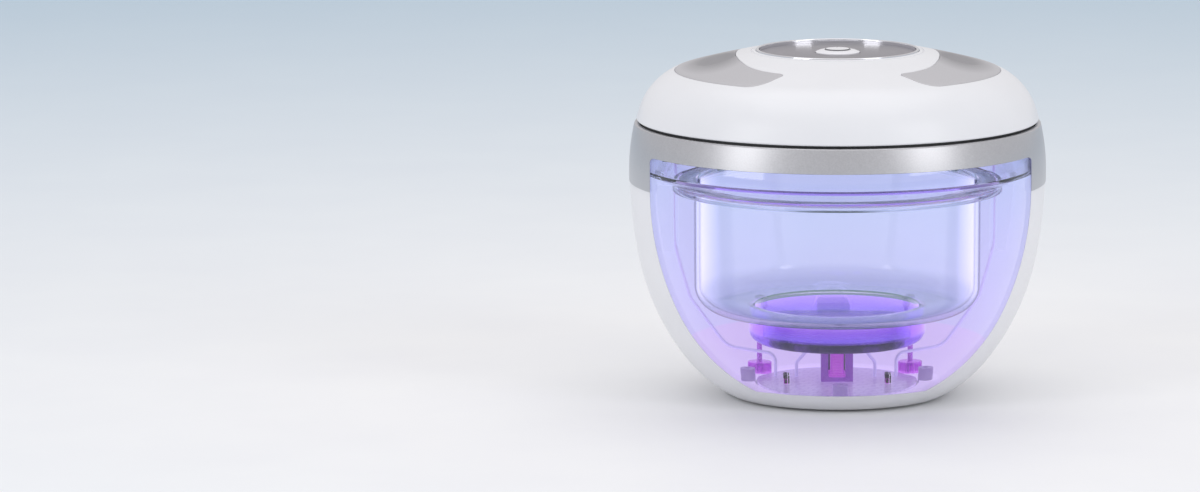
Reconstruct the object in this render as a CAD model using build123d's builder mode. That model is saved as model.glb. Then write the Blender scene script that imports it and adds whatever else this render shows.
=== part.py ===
from build123d import *
import os
from math import acos, asin, atan2, cos, degrees, radians, sin, sqrt

os.makedirs("parts", exist_ok=True)

# Countertop ultrasonic cleaner for retainers: an egg-shaped casing with a front window, a hung
# clear tank with its transducer under it, and a lid that lifts off. Millimetres, +Z up, origin on
# the counter under the centre, window towards -Y.

# Casing outline: tangent arcs up and down from the widest ring. The crown's arc ends on the axis.
widest_r = 65.0
widest_z = 71.5
side_up_radius, side_up_angle = 64.9, 17.0
shoulder_radius, shoulder_angle = 19.7, 74.7
crown_radius = 300.0
side_down_radius, side_down_angle = 143.0, 10.6
belly_radius, belly_angle = 77.1, 37.4
heel_radius, heel_angle = 42.0, 76.0

# Walls and general clearances
shell_wall = 2.4
lid_wall = 2.6
trim_gap = 0.1
fit_gap = 0.05
soft_gap = 0.3

# Heights of the casing joints
foot_height = 0.8
band_bottom = 68.2
band_top = 86.5
seam_gap = 0.8
band_proud = 0.3
band_wall = 3.8
spigot_depth = 5.0

# Front window
window_side_margin = 6.0
window_bottom, window_top = 6.5, 79.0
window_side_bottom = 68.5
window_upper_radius, window_upper_angle = 86.1, 26.6
window_lower_radius = 52.1
window_rebate = 2.0
window_skin = 1.2
window_corner = 1.5

# Floor of the casing
heel_width = 3.045
plate_thickness = 1.2
ledge_lap = 4.8
ledge_thickness = 1.2
foot_r = 4.5
foot_recess = 0.4
foot_edge = 0.4
foot_inset = 9.5
base_screw_inset = 2.8
screw_r = 1.0
screw_head_r = 1.9
screw_head_height = 0.7
slot_length, slot_width, slot_depth = 2.2, 0.5, 0.4
base_screw_length = 6.0
boss_r = 2.4
boss_height = 6.0

# Driver board
board_margin = 0.8
board_thickness = 1.0
standoff_height = 0.4
standoff_r = 2.0
standoff_circle_r = 12.0
core_width, core_depth, core_height = 10.0, 6.0, 13.2
core_leg = 2.2
coil_gap = 0.15
coil_depth, coil_round = 9.4, 1.8
bobbin_flange, bobbin_step = 0.9, 0.6
transistor_x = 16.0
transistor_y = -4.0
transistor_width, transistor_depth, transistor_height = 2.0, 5.0, 3.6
transistor_bevel = 0.4
capacitor_r, capacitor_height = 3.2, 9.0
capacitor_edge = 0.5
capacitor_y = 12.0

# Tank
tank_rim_width = 5.0
tank_wall = 1.5
tank_bottom = 27.0
tank_top = 68.4
tank_corner = 8.0
flange_thickness = 1.2
cup_step = 17.3
cup_bottom = 17.0
cup_corner = 3.5
diaphragm_seat = 20.0
diaphragm_thickness = 0.6
cup_lip_width = 2.4
piezo_thickness = 2.7
piezo_gap = 0.4
mouth_round = 1.1
seal_thickness = 0.6
seal_margin = 1.6

# Deck that the tank hangs in
deck_wall = 1.4
deck_lip_width = 0.9
deck_lip_z = 82.0
deck_lip_thickness = 1.2
deck_rim_wall = 1.3
deck_slope_width = 9.5
deck_fold_z = 73.0
seat_margin = 1.0
seat_depth = 0.2
platform_margin = 0.6

# Pillars under the tank
pillar_inset, pillar_azimuth = 3.49, 35.4
knob_r, knob_height = 3.9, 3.6
knob_flutes = 12
knob_flute_r = 0.45
knob_rim = 0.8
pin_r = 0.85
cap_r = 1.6
cap_height = 3.0
cap_roof = 1.0

# Power inlet at the back
inlet_z = 18.0
inlet_recess_depth = 6.33
inlet_wall = 2.0
inlet_recess_r = 5.5
inlet_rim = 1.8
inlet_barrel_r = 4.9
inlet_bore_r = 2.75
inlet_pin_r = 1.05
inlet_bore_depth = 9.5
inlet_pin_short = 0.8
inlet_tail_r, inlet_tail_length = 0.8, 1.5
inlet_pin_round = 0.3
inlet_block = 11.0
inlet_block_depth = 12.0
inlet_round = 0.8

# Leads in the base
lead_r = 0.5
inlet_lead_spacing = 5.0
inlet_lead_z = 14.5
inlet_lead_margin = 3.4
inlet_lead_bend = 4.0
piezo_lead_x, piezo_lead_y = 9.0, 6.0
piezo_lead_step = 3.5
piezo_lead_high, piezo_lead_low = 9.4, 4.6
piezo_lead_bend = 2.0
contact_lead_drop = 3.0
contact_lead_mid_in, contact_lead_mid_z = 5.6, 27.0
contact_lead_low_in, contact_lead_low_z = 18.6, 12.0
contact_lead_margin, contact_lead_end_z = 4.4, 11.0
contact_lead_bends = [12.0, 8.0, 8.0, 3.0]

# Contacts between base and lid, one at each side of the back
contact_azimuth = 24.0
contact_wall_distance = 3.2
contact_block_width, contact_block_depth = 6.0, 4.6
contact_block_bottom, contact_block_top = 74.0, 81.6
contact_pin_r = 0.9
contact_pin_length = 6.0
contact_collar_r = 1.3
contact_collar_height = 0.8
contact_collar_gap = 0.1
contact_tip_round = 0.5
contact_air = 0.3
contact_roof = 1.6
contact_floor = 0.8
contact_chamber_r = 1.5
spring_r, spring_wire_r = 1.15, 0.15
spring_turns = 5
pad_r = 1.7
pad_thickness = 0.4
pad_proud = 0.2
pad_tail_r = 0.6

# Lid
tray_gap = 0.5
tray_bottom = 84.0
tray_thickness = 1.6
tray_wall = 1.4
tray_top = 88.8
lens_r = 16.9
lens_ledge = 2.0
lens_ledge_thickness = 0.8
lens_thickness = 1.2
lamp_board_r = 20.0
lamp_board_z = 88.2
lamp_circle_r = 10.5
lamp_width, lamp_height = 5.0, 1.6
lamp_dome_r = 1.7
lamp_dome_height = 0.4
lamp_post_r, lamp_post_circle_r = 1.1, 18.2
lamp_post_angles = (90, 210, 330)
lamp_peg_r, lamp_peg_height = 0.7, 0.5
tray_edge = 0.5
lid_seal_inset = 0.2
lid_screw_circle_r = 46.0
lid_boss_r = 3.0
lid_screw_length = 8.0
lid_edge = 0.5
seal_clearance = 0.4
link_x, link_y = 8.0, -8.0
pad_lead_top, pad_lead_end_r = 93.0, 16.0
pad_lead_bend = 3.5

# Badge and power button
badge_r = 24.55
badge_thickness = 0.8
bezel_r = 25.5
bezel_round = 0.3
bezel_height = 2.1
badge_depth = 1.75
badge_seat_thickness = 1.2
groove_r, groove_size = 26.9, 0.3
button_r = 6.9
button_gap = 0.2
button_top_r = 4.2
button_flange_r = 8.4
button_flange_thickness = 1.0
button_travel = 0.6
button_shoulder = 0.3
button_rise = 1.0
button_cap_r, button_cap_height = 4.0, 0.3
button_round = 0.2
plunger_r, plunger_length = 1.8, 1.8
switch_size, switch_height = 6.0, 3.1
switch_round = 0.6
switch_board_r = 13.0
stem_r = 1.55
stem_depth = 1.6
stem_proud = 1.0
switch_post_circle_r = 11.0
switch_post_r = 1.6
switch_post_angles = (30, 150, 270)

# Grips let into the lid
grip_thickness = 1.2
grip_outer_r = 51.0
grip_waist_x = 31.8
grip_bend_x, grip_bend_y = 29.2, 20.0
grip_tip_x, grip_tip_y = 16.8, 35.7
grip_heel_y = 43.8
grip_tip_round, grip_heel_round = 2.0, 6.0
hollow_r = 38.0
hollow_depth = 2.2
hollow_across_radius, hollow_along_radius = 12.2, 23.8

def outline_arcs():
    """The outline's tangent arcs from the heel to the crown: centre, radius and both angles."""
    up = [
        (side_up_radius, side_up_angle),
        (shoulder_radius, shoulder_angle),
        (crown_radius, 90.0),
    ]
    down = [
        (side_down_radius, side_down_angle),
        (belly_radius, belly_angle),
        (heel_radius, heel_angle),
    ]
    above, below = [], []
    for side, arcs, found in ((1, up, above), (-1, down, below)):
        last_radius, last_angle = arcs[0][0], 0.0
        x, z = widest_r - last_radius, widest_z
        for radius, angle in arcs:
            x += (last_radius - radius) * cos(radians(last_angle))
            z += (last_radius - radius) * sin(radians(last_angle)) * side
            low, high = sorted((last_angle * side, angle * side))
            found.append((x, z, radius, low, high))
            last_radius, last_angle = radius, angle
    return below[::-1] + above


def on_circle(x, z, radius, angle):
    """The point of a circle at an angle in degrees."""
    return (x + radius * cos(radians(angle)), z + radius * sin(radians(angle)))


def crown_point(r, inset=0.0):
    """Height of the lid's crown at a radius, and the angle of its normal."""
    x, z, radius, low, high = outline_arcs()[-1]
    angle = degrees(acos((r - x) / (radius - inset)))
    return z + (radius - inset) * sin(radians(angle)), angle


def casing_radius(height):
    """Radius of the casing's outside below its widest ring, at a height."""
    for x, z, radius, low, high in outline_arcs():
        rise = height - z
        if radius * sin(radians(low)) <= rise <= radius * sin(radians(high)):
            return x + sqrt(radius**2 - rise**2)


# Heights and radii that follow from the sizes above
window_half_width = widest_r - window_side_margin
band_inner_r = widest_r - band_wall
deck_outer_r = band_inner_r - trim_gap
deck_bore_r = deck_outer_r - deck_rim_wall
deck_lip_r = band_inner_r + deck_lip_width
contact_r = deck_bore_r - contact_wall_distance
tray_r = deck_bore_r - tray_gap
lid_seal_r = deck_lip_r - lid_seal_inset
lid_bottom = band_top + seam_gap
plate_r = casing_radius(foot_height) - heel_width
ledge_inner_r = plate_r - ledge_lap
base_screw_circle_r = plate_r - base_screw_inset
foot_circle_r = plate_r - foot_inset
board_r = ledge_inner_r - board_margin
pillar_circle_r = ledge_inner_r + pillar_inset
plate_top = foot_height + plate_thickness
ledge_top = plate_top + ledge_thickness
board_bottom = plate_top + standoff_height
board_top = board_bottom + board_thickness
seat_outer_r = deck_bore_r - deck_slope_width
flange_r = seat_outer_r - soft_gap
tank_r = flange_r - tank_rim_width
tank_inner_r = tank_r - tank_wall
seat_inner_r = tank_r + seat_margin
seal_inner_r = tank_r + seal_margin
cup_r = tank_r - cup_step
cup_inner_r = cup_r - tank_wall
cup_lip_r = cup_inner_r - cup_lip_width
seat_top = tank_top - flange_thickness - seal_thickness
deck_bowl_z = tank_top + seat_depth
piezo_r = cup_lip_r - piezo_gap
tray_floor = tray_bottom + tray_thickness
lens_z = tray_bottom + lens_ledge_thickness
inlet_face_y = casing_radius(inlet_z) - inlet_recess_depth
badge_seat = crown_point(bezel_r)[0] - badge_depth
badge_floor = badge_seat - badge_seat_thickness
badge_top = badge_seat + badge_thickness
bezel_top = badge_seat + bezel_height
button_dome_top = badge_top + button_rise
button_top = button_dome_top + button_cap_height
flange_top = badge_floor - button_gap
flange_bottom = flange_top - button_flange_thickness
stem_top = flange_bottom - plunger_length
switch_top = stem_top - stem_proud
switch_board_top = switch_top - switch_height
switch_board_z = switch_board_top - board_thickness
lamp_board_top = lamp_board_z + board_thickness


def casing_section(inset):
    """Right half of the casing's form, inset along its normal."""
    arcs = outline_arcs()
    with BuildLine() as outline:
        for x, z, radius, low, high in arcs[:-1]:
            CenterArc((x, z), radius - inset, low, high - low)
        x, z, radius, low, high = arcs[-1]
        crown_height, crown_angle = crown_point(0, inset)
        CenterArc((x, z), radius - inset, low, crown_angle - low)
        x, z, radius, low, high = arcs[0]
        heel = on_circle(x, z, radius - inset, low)
        Polyline(heel, (0, heel[1]), (0, crown_height))
    make_face(outline.edges())


def turned(inset, low, high, mode=Mode.ADD):
    """Turns the casing's form between two heights."""
    with BuildSketch(Plane.XZ) as section:
        casing_section(inset)
        with Locations((0, (low + high) / 2)):
            Rectangle(4 * widest_r, high - low, mode=Mode.INTERSECT)
    revolve(section.sketch, axis=Axis.Z, mode=mode)


def casing_form(inset):
    """The whole solid form at an inset."""
    with BuildPart() as form:
        turned(inset, -widest_z, 2 * widest_z)
    return form.part


def tube(outer_r, inner_r, low, high, mode=Mode.ADD):
    """An upright ring, or a disc where the inner radius is zero."""
    with BuildSketch(Plane.XY.offset(low)) as disc:
        Circle(outer_r)
        if inner_r > 0:
            Circle(inner_r, mode=Mode.SUBTRACT)
    extrude(disc.sketch, amount=high - low, mode=mode)


def posts(places, radius, low, high, mode=Mode.ADD):
    """Upright round posts or holes at a list of places."""
    with BuildSketch(Plane.XY.offset(low)) as discs:
        with Locations(*places):
            Circle(radius)
    extrude(discs.sketch, amount=high - low, mode=mode)


def around(radius, angles):
    """Places on a circle at angles in degrees."""
    return [(radius * cos(radians(a)), radius * sin(radians(a))) for a in angles]


def wire(points, radii):
    """A round lead along straight runs with tangent bends."""
    with BuildLine() as route:
        FilletPolyline(*points, radius=radii)
    path = route.line
    with BuildSketch(Plane(origin=path @ 0, z_dir=path % 0)) as end:
        Circle(lead_r)
    sweep(end.sketch, path=path)


def section_part(points):
    """A turned part from its half section, as points from the axis outwards."""
    with BuildSketch(Plane.XZ) as section:
        with BuildLine() as outline:
            Polyline(*points, close=True)
        make_face(outline.edges())
    revolve(section.sketch, axis=Axis.Z)


def radial_points(azimuth, points):
    """Points given as radius and height, placed at an azimuth."""
    return [(r * cos(radians(azimuth)), r * sin(radians(azimuth)), z) for r, z in points]


screw_angles = (0, 90, 180, 270)
foot_angles = (45, 135, 225, 315)
contact_angles = (contact_azimuth, 180 - contact_azimuth)
contact_places = around(contact_r, contact_angles)
base_screw_places = around(base_screw_circle_r, screw_angles)
lid_screw_places = around(lid_screw_circle_r, foot_angles)
foot_places = around(foot_circle_r, foot_angles)
pillar_places = around(pillar_circle_r, (180 - pillar_azimuth, pillar_azimuth))
sky = 2 * widest_z

# Window opening: the clear panel sits in a step cut round the opening.


def window_prism(grow):
    """Block with the window's outline, from the middle of the casing out through its front."""
    upper_x = window_half_width - window_upper_radius
    step = window_upper_radius - window_lower_radius
    lower_x, lower_z = on_circle(upper_x, window_side_bottom, step, -window_upper_angle)
    end_angle = degrees(asin((lower_z - window_bottom) / window_lower_radius))
    end = on_circle(lower_x, lower_z, window_lower_radius, -end_angle)
    with BuildPart() as prism:
        with BuildSketch(Plane.XZ) as face:
            with BuildLine() as outline:
                Line((window_half_width, window_top), (window_half_width, window_side_bottom))
                CenterArc((upper_x, window_side_bottom), window_upper_radius, 0, -window_upper_angle)
                CenterArc(
                    (lower_x, lower_z),
                    window_lower_radius,
                    -window_upper_angle,
                    window_upper_angle - end_angle,
                )
                mirror(outline.line, about=Plane.YZ)
                Line((-window_half_width, window_top), (window_half_width, window_top))
                Line((-end[0], window_bottom), (end[0], window_bottom))
            make_face()
            corners = face.vertices().group_by(Axis.Y)[0] + face.vertices().group_by(Axis.Y)[-1]
            fillet(corners, window_corner)
            if grow != 0:
                offset(amount=grow, mode=Mode.REPLACE)
        extrude(amount=2 * widest_r)
    return prism.part


window_opening = window_prism(0)
window_step = window_prism(window_rebate)
window_glass = window_prism(-trim_gap)
window_tongue = window_prism(window_rebate - trim_gap)
step_form = casing_form(window_skin)
tongue_form = casing_form(window_skin + trim_gap)
full_form = casing_form(0)
inner_form = casing_form(shell_wall)

with BuildPart() as window_hole:
    add(window_step)
    add(step_form, mode=Mode.INTERSECT)
    add(window_opening)

# Outer shell of the base, with its floor ledge, screw bosses, wire guides and inlet seat
guide_thickness = 1.0
guide_slot = 3.2
guide_lap = 0.8
guide_inner_r = contact_r - guide_lap
guide_bottom, guide_top = 42.0, 63.0
with BuildPart() as body_shell:
    turned(0, foot_height, band_bottom)
    turned(shell_wall, ledge_top, band_bottom, mode=Mode.SUBTRACT)
    tube(ledge_inner_r, 0, foot_height, ledge_top, mode=Mode.SUBTRACT)
    tube(plate_r + trim_gap, 0, foot_height, plate_top, mode=Mode.SUBTRACT)
    posts(base_screw_places, boss_r, plate_top, plate_top + boss_height)
    posts(
        base_screw_places,
        screw_r + fit_gap,
        plate_top,
        plate_top + boss_height,
        mode=Mode.SUBTRACT,
    )
    add(window_hole.part, mode=Mode.SUBTRACT)

inlet_plane = Plane(origin=(0, inlet_face_y - inlet_wall, inlet_z), x_dir=(1, 0, 0), z_dir=(0, 1, 0))
with BuildPart() as inlet_seat:
    with BuildSketch(inlet_plane):
        Circle(inlet_recess_r + inlet_rim)
    extrude(amount=widest_r)
    add(full_form, mode=Mode.INTERSECT)

with BuildPart() as wire_guides:
    for angle in contact_angles:
        with BuildSketch(Plane.XY.offset(guide_bottom)):
            with Locations(Location((0, 0, 0), (0, 0, angle))):
                with Locations(
                    (widest_r, (guide_slot + guide_thickness) / 2),
                    (widest_r, -(guide_slot + guide_thickness) / 2),
                ):
                    Rectangle(2 * (widest_r - guide_inner_r), guide_thickness)
        extrude(amount=guide_top - guide_bottom)
    add(full_form, mode=Mode.INTERSECT)

with BuildPart() as body_shell_done:
    add(body_shell.part)
    add(inlet_seat.part)
    add(wire_guides.part)
    with BuildSketch(inlet_plane.offset(inlet_wall)):
        Circle(inlet_recess_r)
    extrude(amount=widest_r, mode=Mode.SUBTRACT)
    with BuildSketch(inlet_plane):
        Circle(inlet_barrel_r + trim_gap)
    extrude(amount=inlet_wall, mode=Mode.SUBTRACT)


# Silver collar band that joins the shell and carries the deck, with a spigot down inside the shell
with BuildPart() as collar_band:
    turned(-band_proud, band_bottom, band_top)
    turned(shell_wall + trim_gap, band_bottom - spigot_depth, band_bottom)
    tube(band_inner_r, 0, band_bottom - spigot_depth, band_top, mode=Mode.SUBTRACT)
    tube(deck_lip_r + trim_gap, 0, deck_lip_z, band_top, mode=Mode.SUBTRACT)
    add(window_hole.part, mode=Mode.SUBTRACT)

# Clear front panel, let into the step round the opening
with BuildPart() as window_panel:
    add(window_tongue)
    add(tongue_form, mode=Mode.INTERSECT)
    add(window_glass)
    add(full_form, mode=Mode.INTERSECT)
    add(inner_form, mode=Mode.SUBTRACT)

# Base plate, its feet, screws and board standoffs
with BuildPart() as base_plate:
    tube(plate_r, 0, foot_height, plate_top)
    posts(around(standoff_circle_r, foot_angles), standoff_r, plate_top, board_bottom)
    posts(
        foot_places,
        foot_r + fit_gap,
        foot_height,
        foot_height + foot_recess,
        mode=Mode.SUBTRACT,
    )
    posts(base_screw_places, screw_r + fit_gap, foot_height, plate_top, mode=Mode.SUBTRACT)
    posts(
        base_screw_places,
        screw_head_r + trim_gap,
        foot_height,
        foot_height + screw_head_height,
        mode=Mode.SUBTRACT,
    )

with BuildPart() as base_feet:
    posts(foot_places, foot_r, 0, foot_height + foot_recess)
    fillet(base_feet.edges().group_by(Axis.Z)[0], foot_edge)


def screws(places, head_bottom, length):
    """Pan head screws pointing up, with a cross slot in each head."""
    head_top = head_bottom + screw_head_height
    posts(places, screw_head_r, head_bottom, head_top)
    posts(places, screw_r, head_top, head_top + length)
    with BuildSketch(Plane.XY.offset(head_bottom)) as slots:
        with Locations(*places):
            Rectangle(slot_length, slot_width)
            Rectangle(slot_width, slot_length)
    extrude(slots.sketch, amount=slot_depth, mode=Mode.SUBTRACT)


with BuildPart() as base_screws:
    screws(base_screw_places, foot_height, base_screw_length)

# Driver board with its step-up transformer, transistors and capacitor
with BuildPart() as driver_board:
    tube(board_r, 0, board_bottom, board_top)

core_middle = board_top + core_height / 2
with BuildPart() as transformer_core:
    with BuildSketch(Plane.XZ.offset(-core_depth / 2)):
        with Locations((0, core_middle)):
            Rectangle(core_width, core_height)
            Rectangle(core_width - 2 * core_leg, core_height - 2 * core_leg, mode=Mode.SUBTRACT)
    extrude(amount=core_depth)

coil_width = core_width - 2 * core_leg - 2 * coil_gap
coil_height = core_height - 2 * core_leg - 2 * coil_gap
with BuildPart() as transformer_coil:
    with BuildSketch(Plane.XY.offset(core_middle - coil_height / 2)):
        RectangleRounded(coil_width, coil_depth, coil_round)
    extrude(amount=coil_height)
    with BuildSketch(Plane.XY.offset(core_middle - coil_height / 2 + bobbin_flange)):
        RectangleRounded(coil_width, coil_depth, coil_round)
        offset(amount=-bobbin_step, mode=Mode.SUBTRACT)
    extrude(amount=coil_height - 2 * bobbin_flange, mode=Mode.SUBTRACT)

with BuildPart() as power_transistors:
    for side in (-1, 1):
        with BuildSketch(Plane.XY.offset(board_top)):
            with Locations((side * transistor_x, transistor_y)):
                Rectangle(transistor_width, transistor_depth)
        extrude(amount=transistor_height)
    chamfer(power_transistors.edges().group_by(Axis.Z)[-1], transistor_bevel)

with BuildPart() as filter_capacitor:
    posts([(0, capacitor_y)], capacitor_r, board_top, board_top + capacitor_height)
    fillet(filter_capacitor.edges().group_by(Axis.Z)[-1], capacitor_edge)

# Tank with its stepped cup, the diaphragm plate let into the cup and the transducer under it
tank_floor = tank_bottom + tank_wall
cup_corner_z = cup_bottom + cup_corner
with BuildPart() as tank:
    with BuildSketch(Plane.XZ) as section:
        with BuildLine() as outline:
            Line((cup_lip_r, cup_bottom), (cup_r - cup_corner, cup_bottom))
            RadiusArc((cup_r - cup_corner, cup_bottom), (cup_r, cup_corner_z), -cup_corner)
            Line((cup_r, cup_corner_z), (cup_r, tank_bottom))
            Line((cup_r, tank_bottom), (tank_r - tank_corner, tank_bottom))
            RadiusArc((tank_r - tank_corner, tank_bottom), (tank_r, tank_bottom + tank_corner), -tank_corner)
            Polyline(
                (tank_r, tank_bottom + tank_corner),
                (tank_r, tank_top - flange_thickness),
                (flange_r, tank_top - flange_thickness),
                (flange_r, tank_top),
                (tank_inner_r, tank_top),
                (tank_inner_r, tank_bottom + tank_corner),
            )
            inner_corner = tank_corner - tank_wall
            RadiusArc(
                (tank_inner_r, tank_bottom + tank_corner),
                (tank_inner_r - inner_corner, tank_floor),
                inner_corner,
            )
            Polyline(
                (tank_inner_r - inner_corner, tank_floor),
                (cup_inner_r, tank_floor),
                (cup_inner_r, diaphragm_seat),
                (cup_lip_r, diaphragm_seat),
                (cup_lip_r, cup_bottom),
            )
        make_face()
    revolve(axis=Axis.Z)
    mouth = tank.edges().filter_by(GeomType.CIRCLE).group_by(Axis.Z)[-1].sort_by(SortBy.RADIUS)[0]
    fillet(mouth, mouth_round)

with BuildPart() as tank_seal:
    tube(flange_r, seal_inner_r, seat_top, tank_top - flange_thickness)

with BuildPart() as diaphragm_plate:
    tube(cup_inner_r - fit_gap, 0, diaphragm_seat, diaphragm_seat + diaphragm_thickness)

with BuildPart() as piezo_disc:
    tube(piezo_r, 0, diaphragm_seat - piezo_thickness, diaphragm_seat)

# Deck liner: hangs in the band by its lip and holds the tank's flange in its seat
deck_slope = (deck_fold_z - deck_bowl_z) / (deck_bore_r - seat_outer_r)
deck_drop = deck_wall * sqrt(1 + deck_slope**2)
deck_skirt_r = seat_outer_r + deck_wall
seat_bottom = seat_top - deck_lip_thickness


def deck_height(r):
    """Height of the deck's upper slope at a radius."""
    return deck_bowl_z + deck_slope * (r - seat_outer_r)


with BuildPart() as deck_liner:
    section_part(
        [
            (seat_inner_r, seat_bottom),
            (deck_skirt_r, seat_bottom),
            (deck_skirt_r, deck_height(deck_skirt_r) - deck_drop),
            (deck_outer_r, deck_height(deck_outer_r) - deck_drop),
            (deck_outer_r, deck_lip_z),
            (deck_lip_r, deck_lip_z),
            (deck_lip_r, deck_lip_z + deck_lip_thickness),
            (deck_bore_r, deck_lip_z + deck_lip_thickness),
            (deck_bore_r, deck_fold_z),
            (seat_outer_r, deck_bowl_z),
            (seat_outer_r, seat_top),
            (seat_inner_r, seat_top),
        ]
    )
    platform_inner_r = contact_r - contact_block_depth / 2 - platform_margin
    platform_bottom = deck_height(platform_inner_r) - trim_gap
    for angle in contact_angles:
        with BuildSketch(Plane.XY.offset(platform_bottom)) as platform:
            with Locations(Location((0, 0, 0), (0, 0, angle))):
                with Locations(((platform_inner_r + deck_bore_r) / 2, 0)):
                    Rectangle(
                        deck_bore_r - platform_inner_r + 2 * trim_gap,
                        contact_block_width + 2 * platform_margin,
                    )
        extrude(platform.sketch, amount=contact_block_bottom - platform_bottom)
    posts(contact_places, lead_r + soft_gap, seat_bottom, deck_lip_z, mode=Mode.SUBTRACT)

# Pillars that hold up the tank's bottom: fluted knob, steel pin and soft cap
with BuildPart() as pillar_knobs:
    posts(pillar_places, knob_r, ledge_top, ledge_top + knob_height)
    for x, y in pillar_places:
        with BuildSketch(Plane.XY.offset(ledge_top)) as flutes:
            with Locations((x, y)):
                with PolarLocations(knob_r, knob_flutes):
                    Circle(knob_flute_r)
        extrude(flutes.sketch, amount=knob_height - knob_rim, mode=Mode.SUBTRACT)
    posts(pillar_places, pin_r + fit_gap, ledge_top, ledge_top + knob_height, mode=Mode.SUBTRACT)

with BuildPart() as pillar_pins:
    posts(pillar_places, pin_r, ledge_top, tank_bottom - cap_roof)

with BuildPart() as pillar_caps:
    posts(pillar_places, cap_r, tank_bottom - cap_height, tank_bottom)
    posts(
        pillar_places,
        pin_r + fit_gap,
        tank_bottom - cap_height,
        tank_bottom - cap_roof,
        mode=Mode.SUBTRACT,
    )

# Power inlet jack: block behind the wall, barrel through it, centre pin in the bore
block_plane = Plane(origin=(0, inlet_face_y - inlet_wall, inlet_z), x_dir=(-1, 0, 0), z_dir=(0, -1, 0))
with BuildPart() as inlet_jack:
    with BuildSketch(block_plane):
        RectangleRounded(inlet_block, inlet_block, inlet_round)
    extrude(amount=inlet_block_depth)
    with BuildSketch(inlet_plane):
        Circle(inlet_barrel_r)
    extrude(amount=inlet_wall)
    with BuildSketch(inlet_plane.offset(inlet_wall)):
        Circle(inlet_bore_r)
    extrude(amount=-inlet_bore_depth, mode=Mode.SUBTRACT)
    with BuildSketch(inlet_plane.offset(inlet_wall - inlet_bore_depth)):
        Circle(inlet_tail_r + fit_gap)
    extrude(amount=-inlet_tail_length, mode=Mode.SUBTRACT)

with BuildPart() as inlet_pin:
    with BuildSketch(inlet_plane.offset(inlet_wall - inlet_pin_short)):
        Circle(inlet_pin_r)
    extrude(amount=-(inlet_bore_depth - inlet_pin_short))
    fillet(inlet_pin.edges().group_by(Axis.Y)[-1], inlet_pin_round)
    with BuildSketch(inlet_plane.offset(inlet_wall - inlet_bore_depth)):
        Circle(inlet_tail_r)
    extrude(amount=-inlet_tail_length)

# Leads inside the base
inlet_back_y = inlet_face_y - inlet_wall - inlet_block_depth
with BuildPart() as inlet_leads:
    for side in (-1, 1):
        x = side * inlet_lead_spacing / 2
        wire(
            [
                (x, inlet_back_y, inlet_lead_z),
                (x, board_r - inlet_lead_margin, inlet_lead_z),
                (x, board_r - inlet_lead_margin, board_top),
            ],
            inlet_lead_bend,
        )

piezo_end_x, piezo_end_y = piezo_lead_x + piezo_lead_step, piezo_lead_y + piezo_lead_step
with BuildPart() as piezo_leads:
    for side in (-1, 1):
        wire(
            [
                (side * piezo_lead_x, piezo_lead_y, diaphragm_seat - piezo_thickness),
                (side * piezo_lead_x, piezo_lead_y, board_top + piezo_lead_high),
                (side * piezo_end_x, piezo_end_y, board_top + piezo_lead_low),
                (side * piezo_end_x, piezo_end_y, board_top),
            ],
            piezo_lead_bend,
        )

with BuildPart() as contact_leads:
    for angle in contact_angles:
        wire(
            radial_points(
                angle,
                [
                    (contact_r, contact_block_bottom),
                    (contact_r, guide_bottom + contact_lead_drop),
                    (contact_r - contact_lead_mid_in, contact_lead_mid_z),
                    (contact_r - contact_lead_low_in, contact_lead_low_z),
                    (board_r - contact_lead_margin, contact_lead_end_z),
                    (board_r - contact_lead_margin, board_top),
                ],
            ),
            contact_lead_bends,
        )

# Sprung contacts: a block with one bore each, the pins and their springs
pin_tip = tray_bottom - pad_proud - contact_air
pin_foot = pin_tip - contact_pin_length
with BuildPart() as contact_blocks:
    for angle in contact_angles:
        with BuildSketch(Plane.XY.offset(contact_block_bottom)) as block:
            with Locations(Location((0, 0, 0), (0, 0, angle))):
                with Locations((contact_r, 0)):
                    Rectangle(contact_block_depth, contact_block_width)
        extrude(block.sketch, amount=contact_block_top - contact_block_bottom)
    posts(
        contact_places,
        contact_pin_r + fit_gap,
        contact_block_top - contact_roof,
        contact_block_top,
        mode=Mode.SUBTRACT,
    )
    posts(
        contact_places,
        contact_chamber_r,
        contact_block_bottom + contact_floor,
        contact_block_top - contact_roof,
        mode=Mode.SUBTRACT,
    )

with BuildPart() as contact_pins:
    posts(contact_places, contact_pin_r, pin_foot, pin_tip)
    fillet(contact_pins.edges().group_by(Axis.Z)[-1], contact_tip_round)
    collar_top = contact_block_top - contact_roof - contact_collar_gap
    posts(contact_places, contact_collar_r, collar_top - contact_collar_height, collar_top)

spring_bottom = contact_block_bottom + contact_floor
spring_height = collar_top - contact_collar_height - spring_bottom - 2 * spring_wire_r
with BuildPart() as contact_springs:
    for x, y in contact_places:
        with BuildLine() as coil:
            Helix(
                pitch=spring_height / spring_turns,
                height=spring_height,
                radius=spring_r,
                center=(x, y, spring_bottom + spring_wire_r),
            )
        with BuildSketch(Plane(origin=coil.line @ 0, z_dir=coil.line % 0)) as strand:
            Circle(spring_wire_r)
        sweep(strand.sketch, path=coil.line, is_frenet=True)

# Lid
bosses_bottom = tray_floor


def cut_both_sides(piece, tool):
    """Cuts a tool out of a piece at the right and, with the piece turned round, at the left."""
    for _ in range(2):
        with BuildPart() as cut:
            add(piece)
            add(tool, mode=Mode.SUBTRACT)
        piece = cut.part.rotate(Axis.Z, 180)
    return piece


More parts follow.
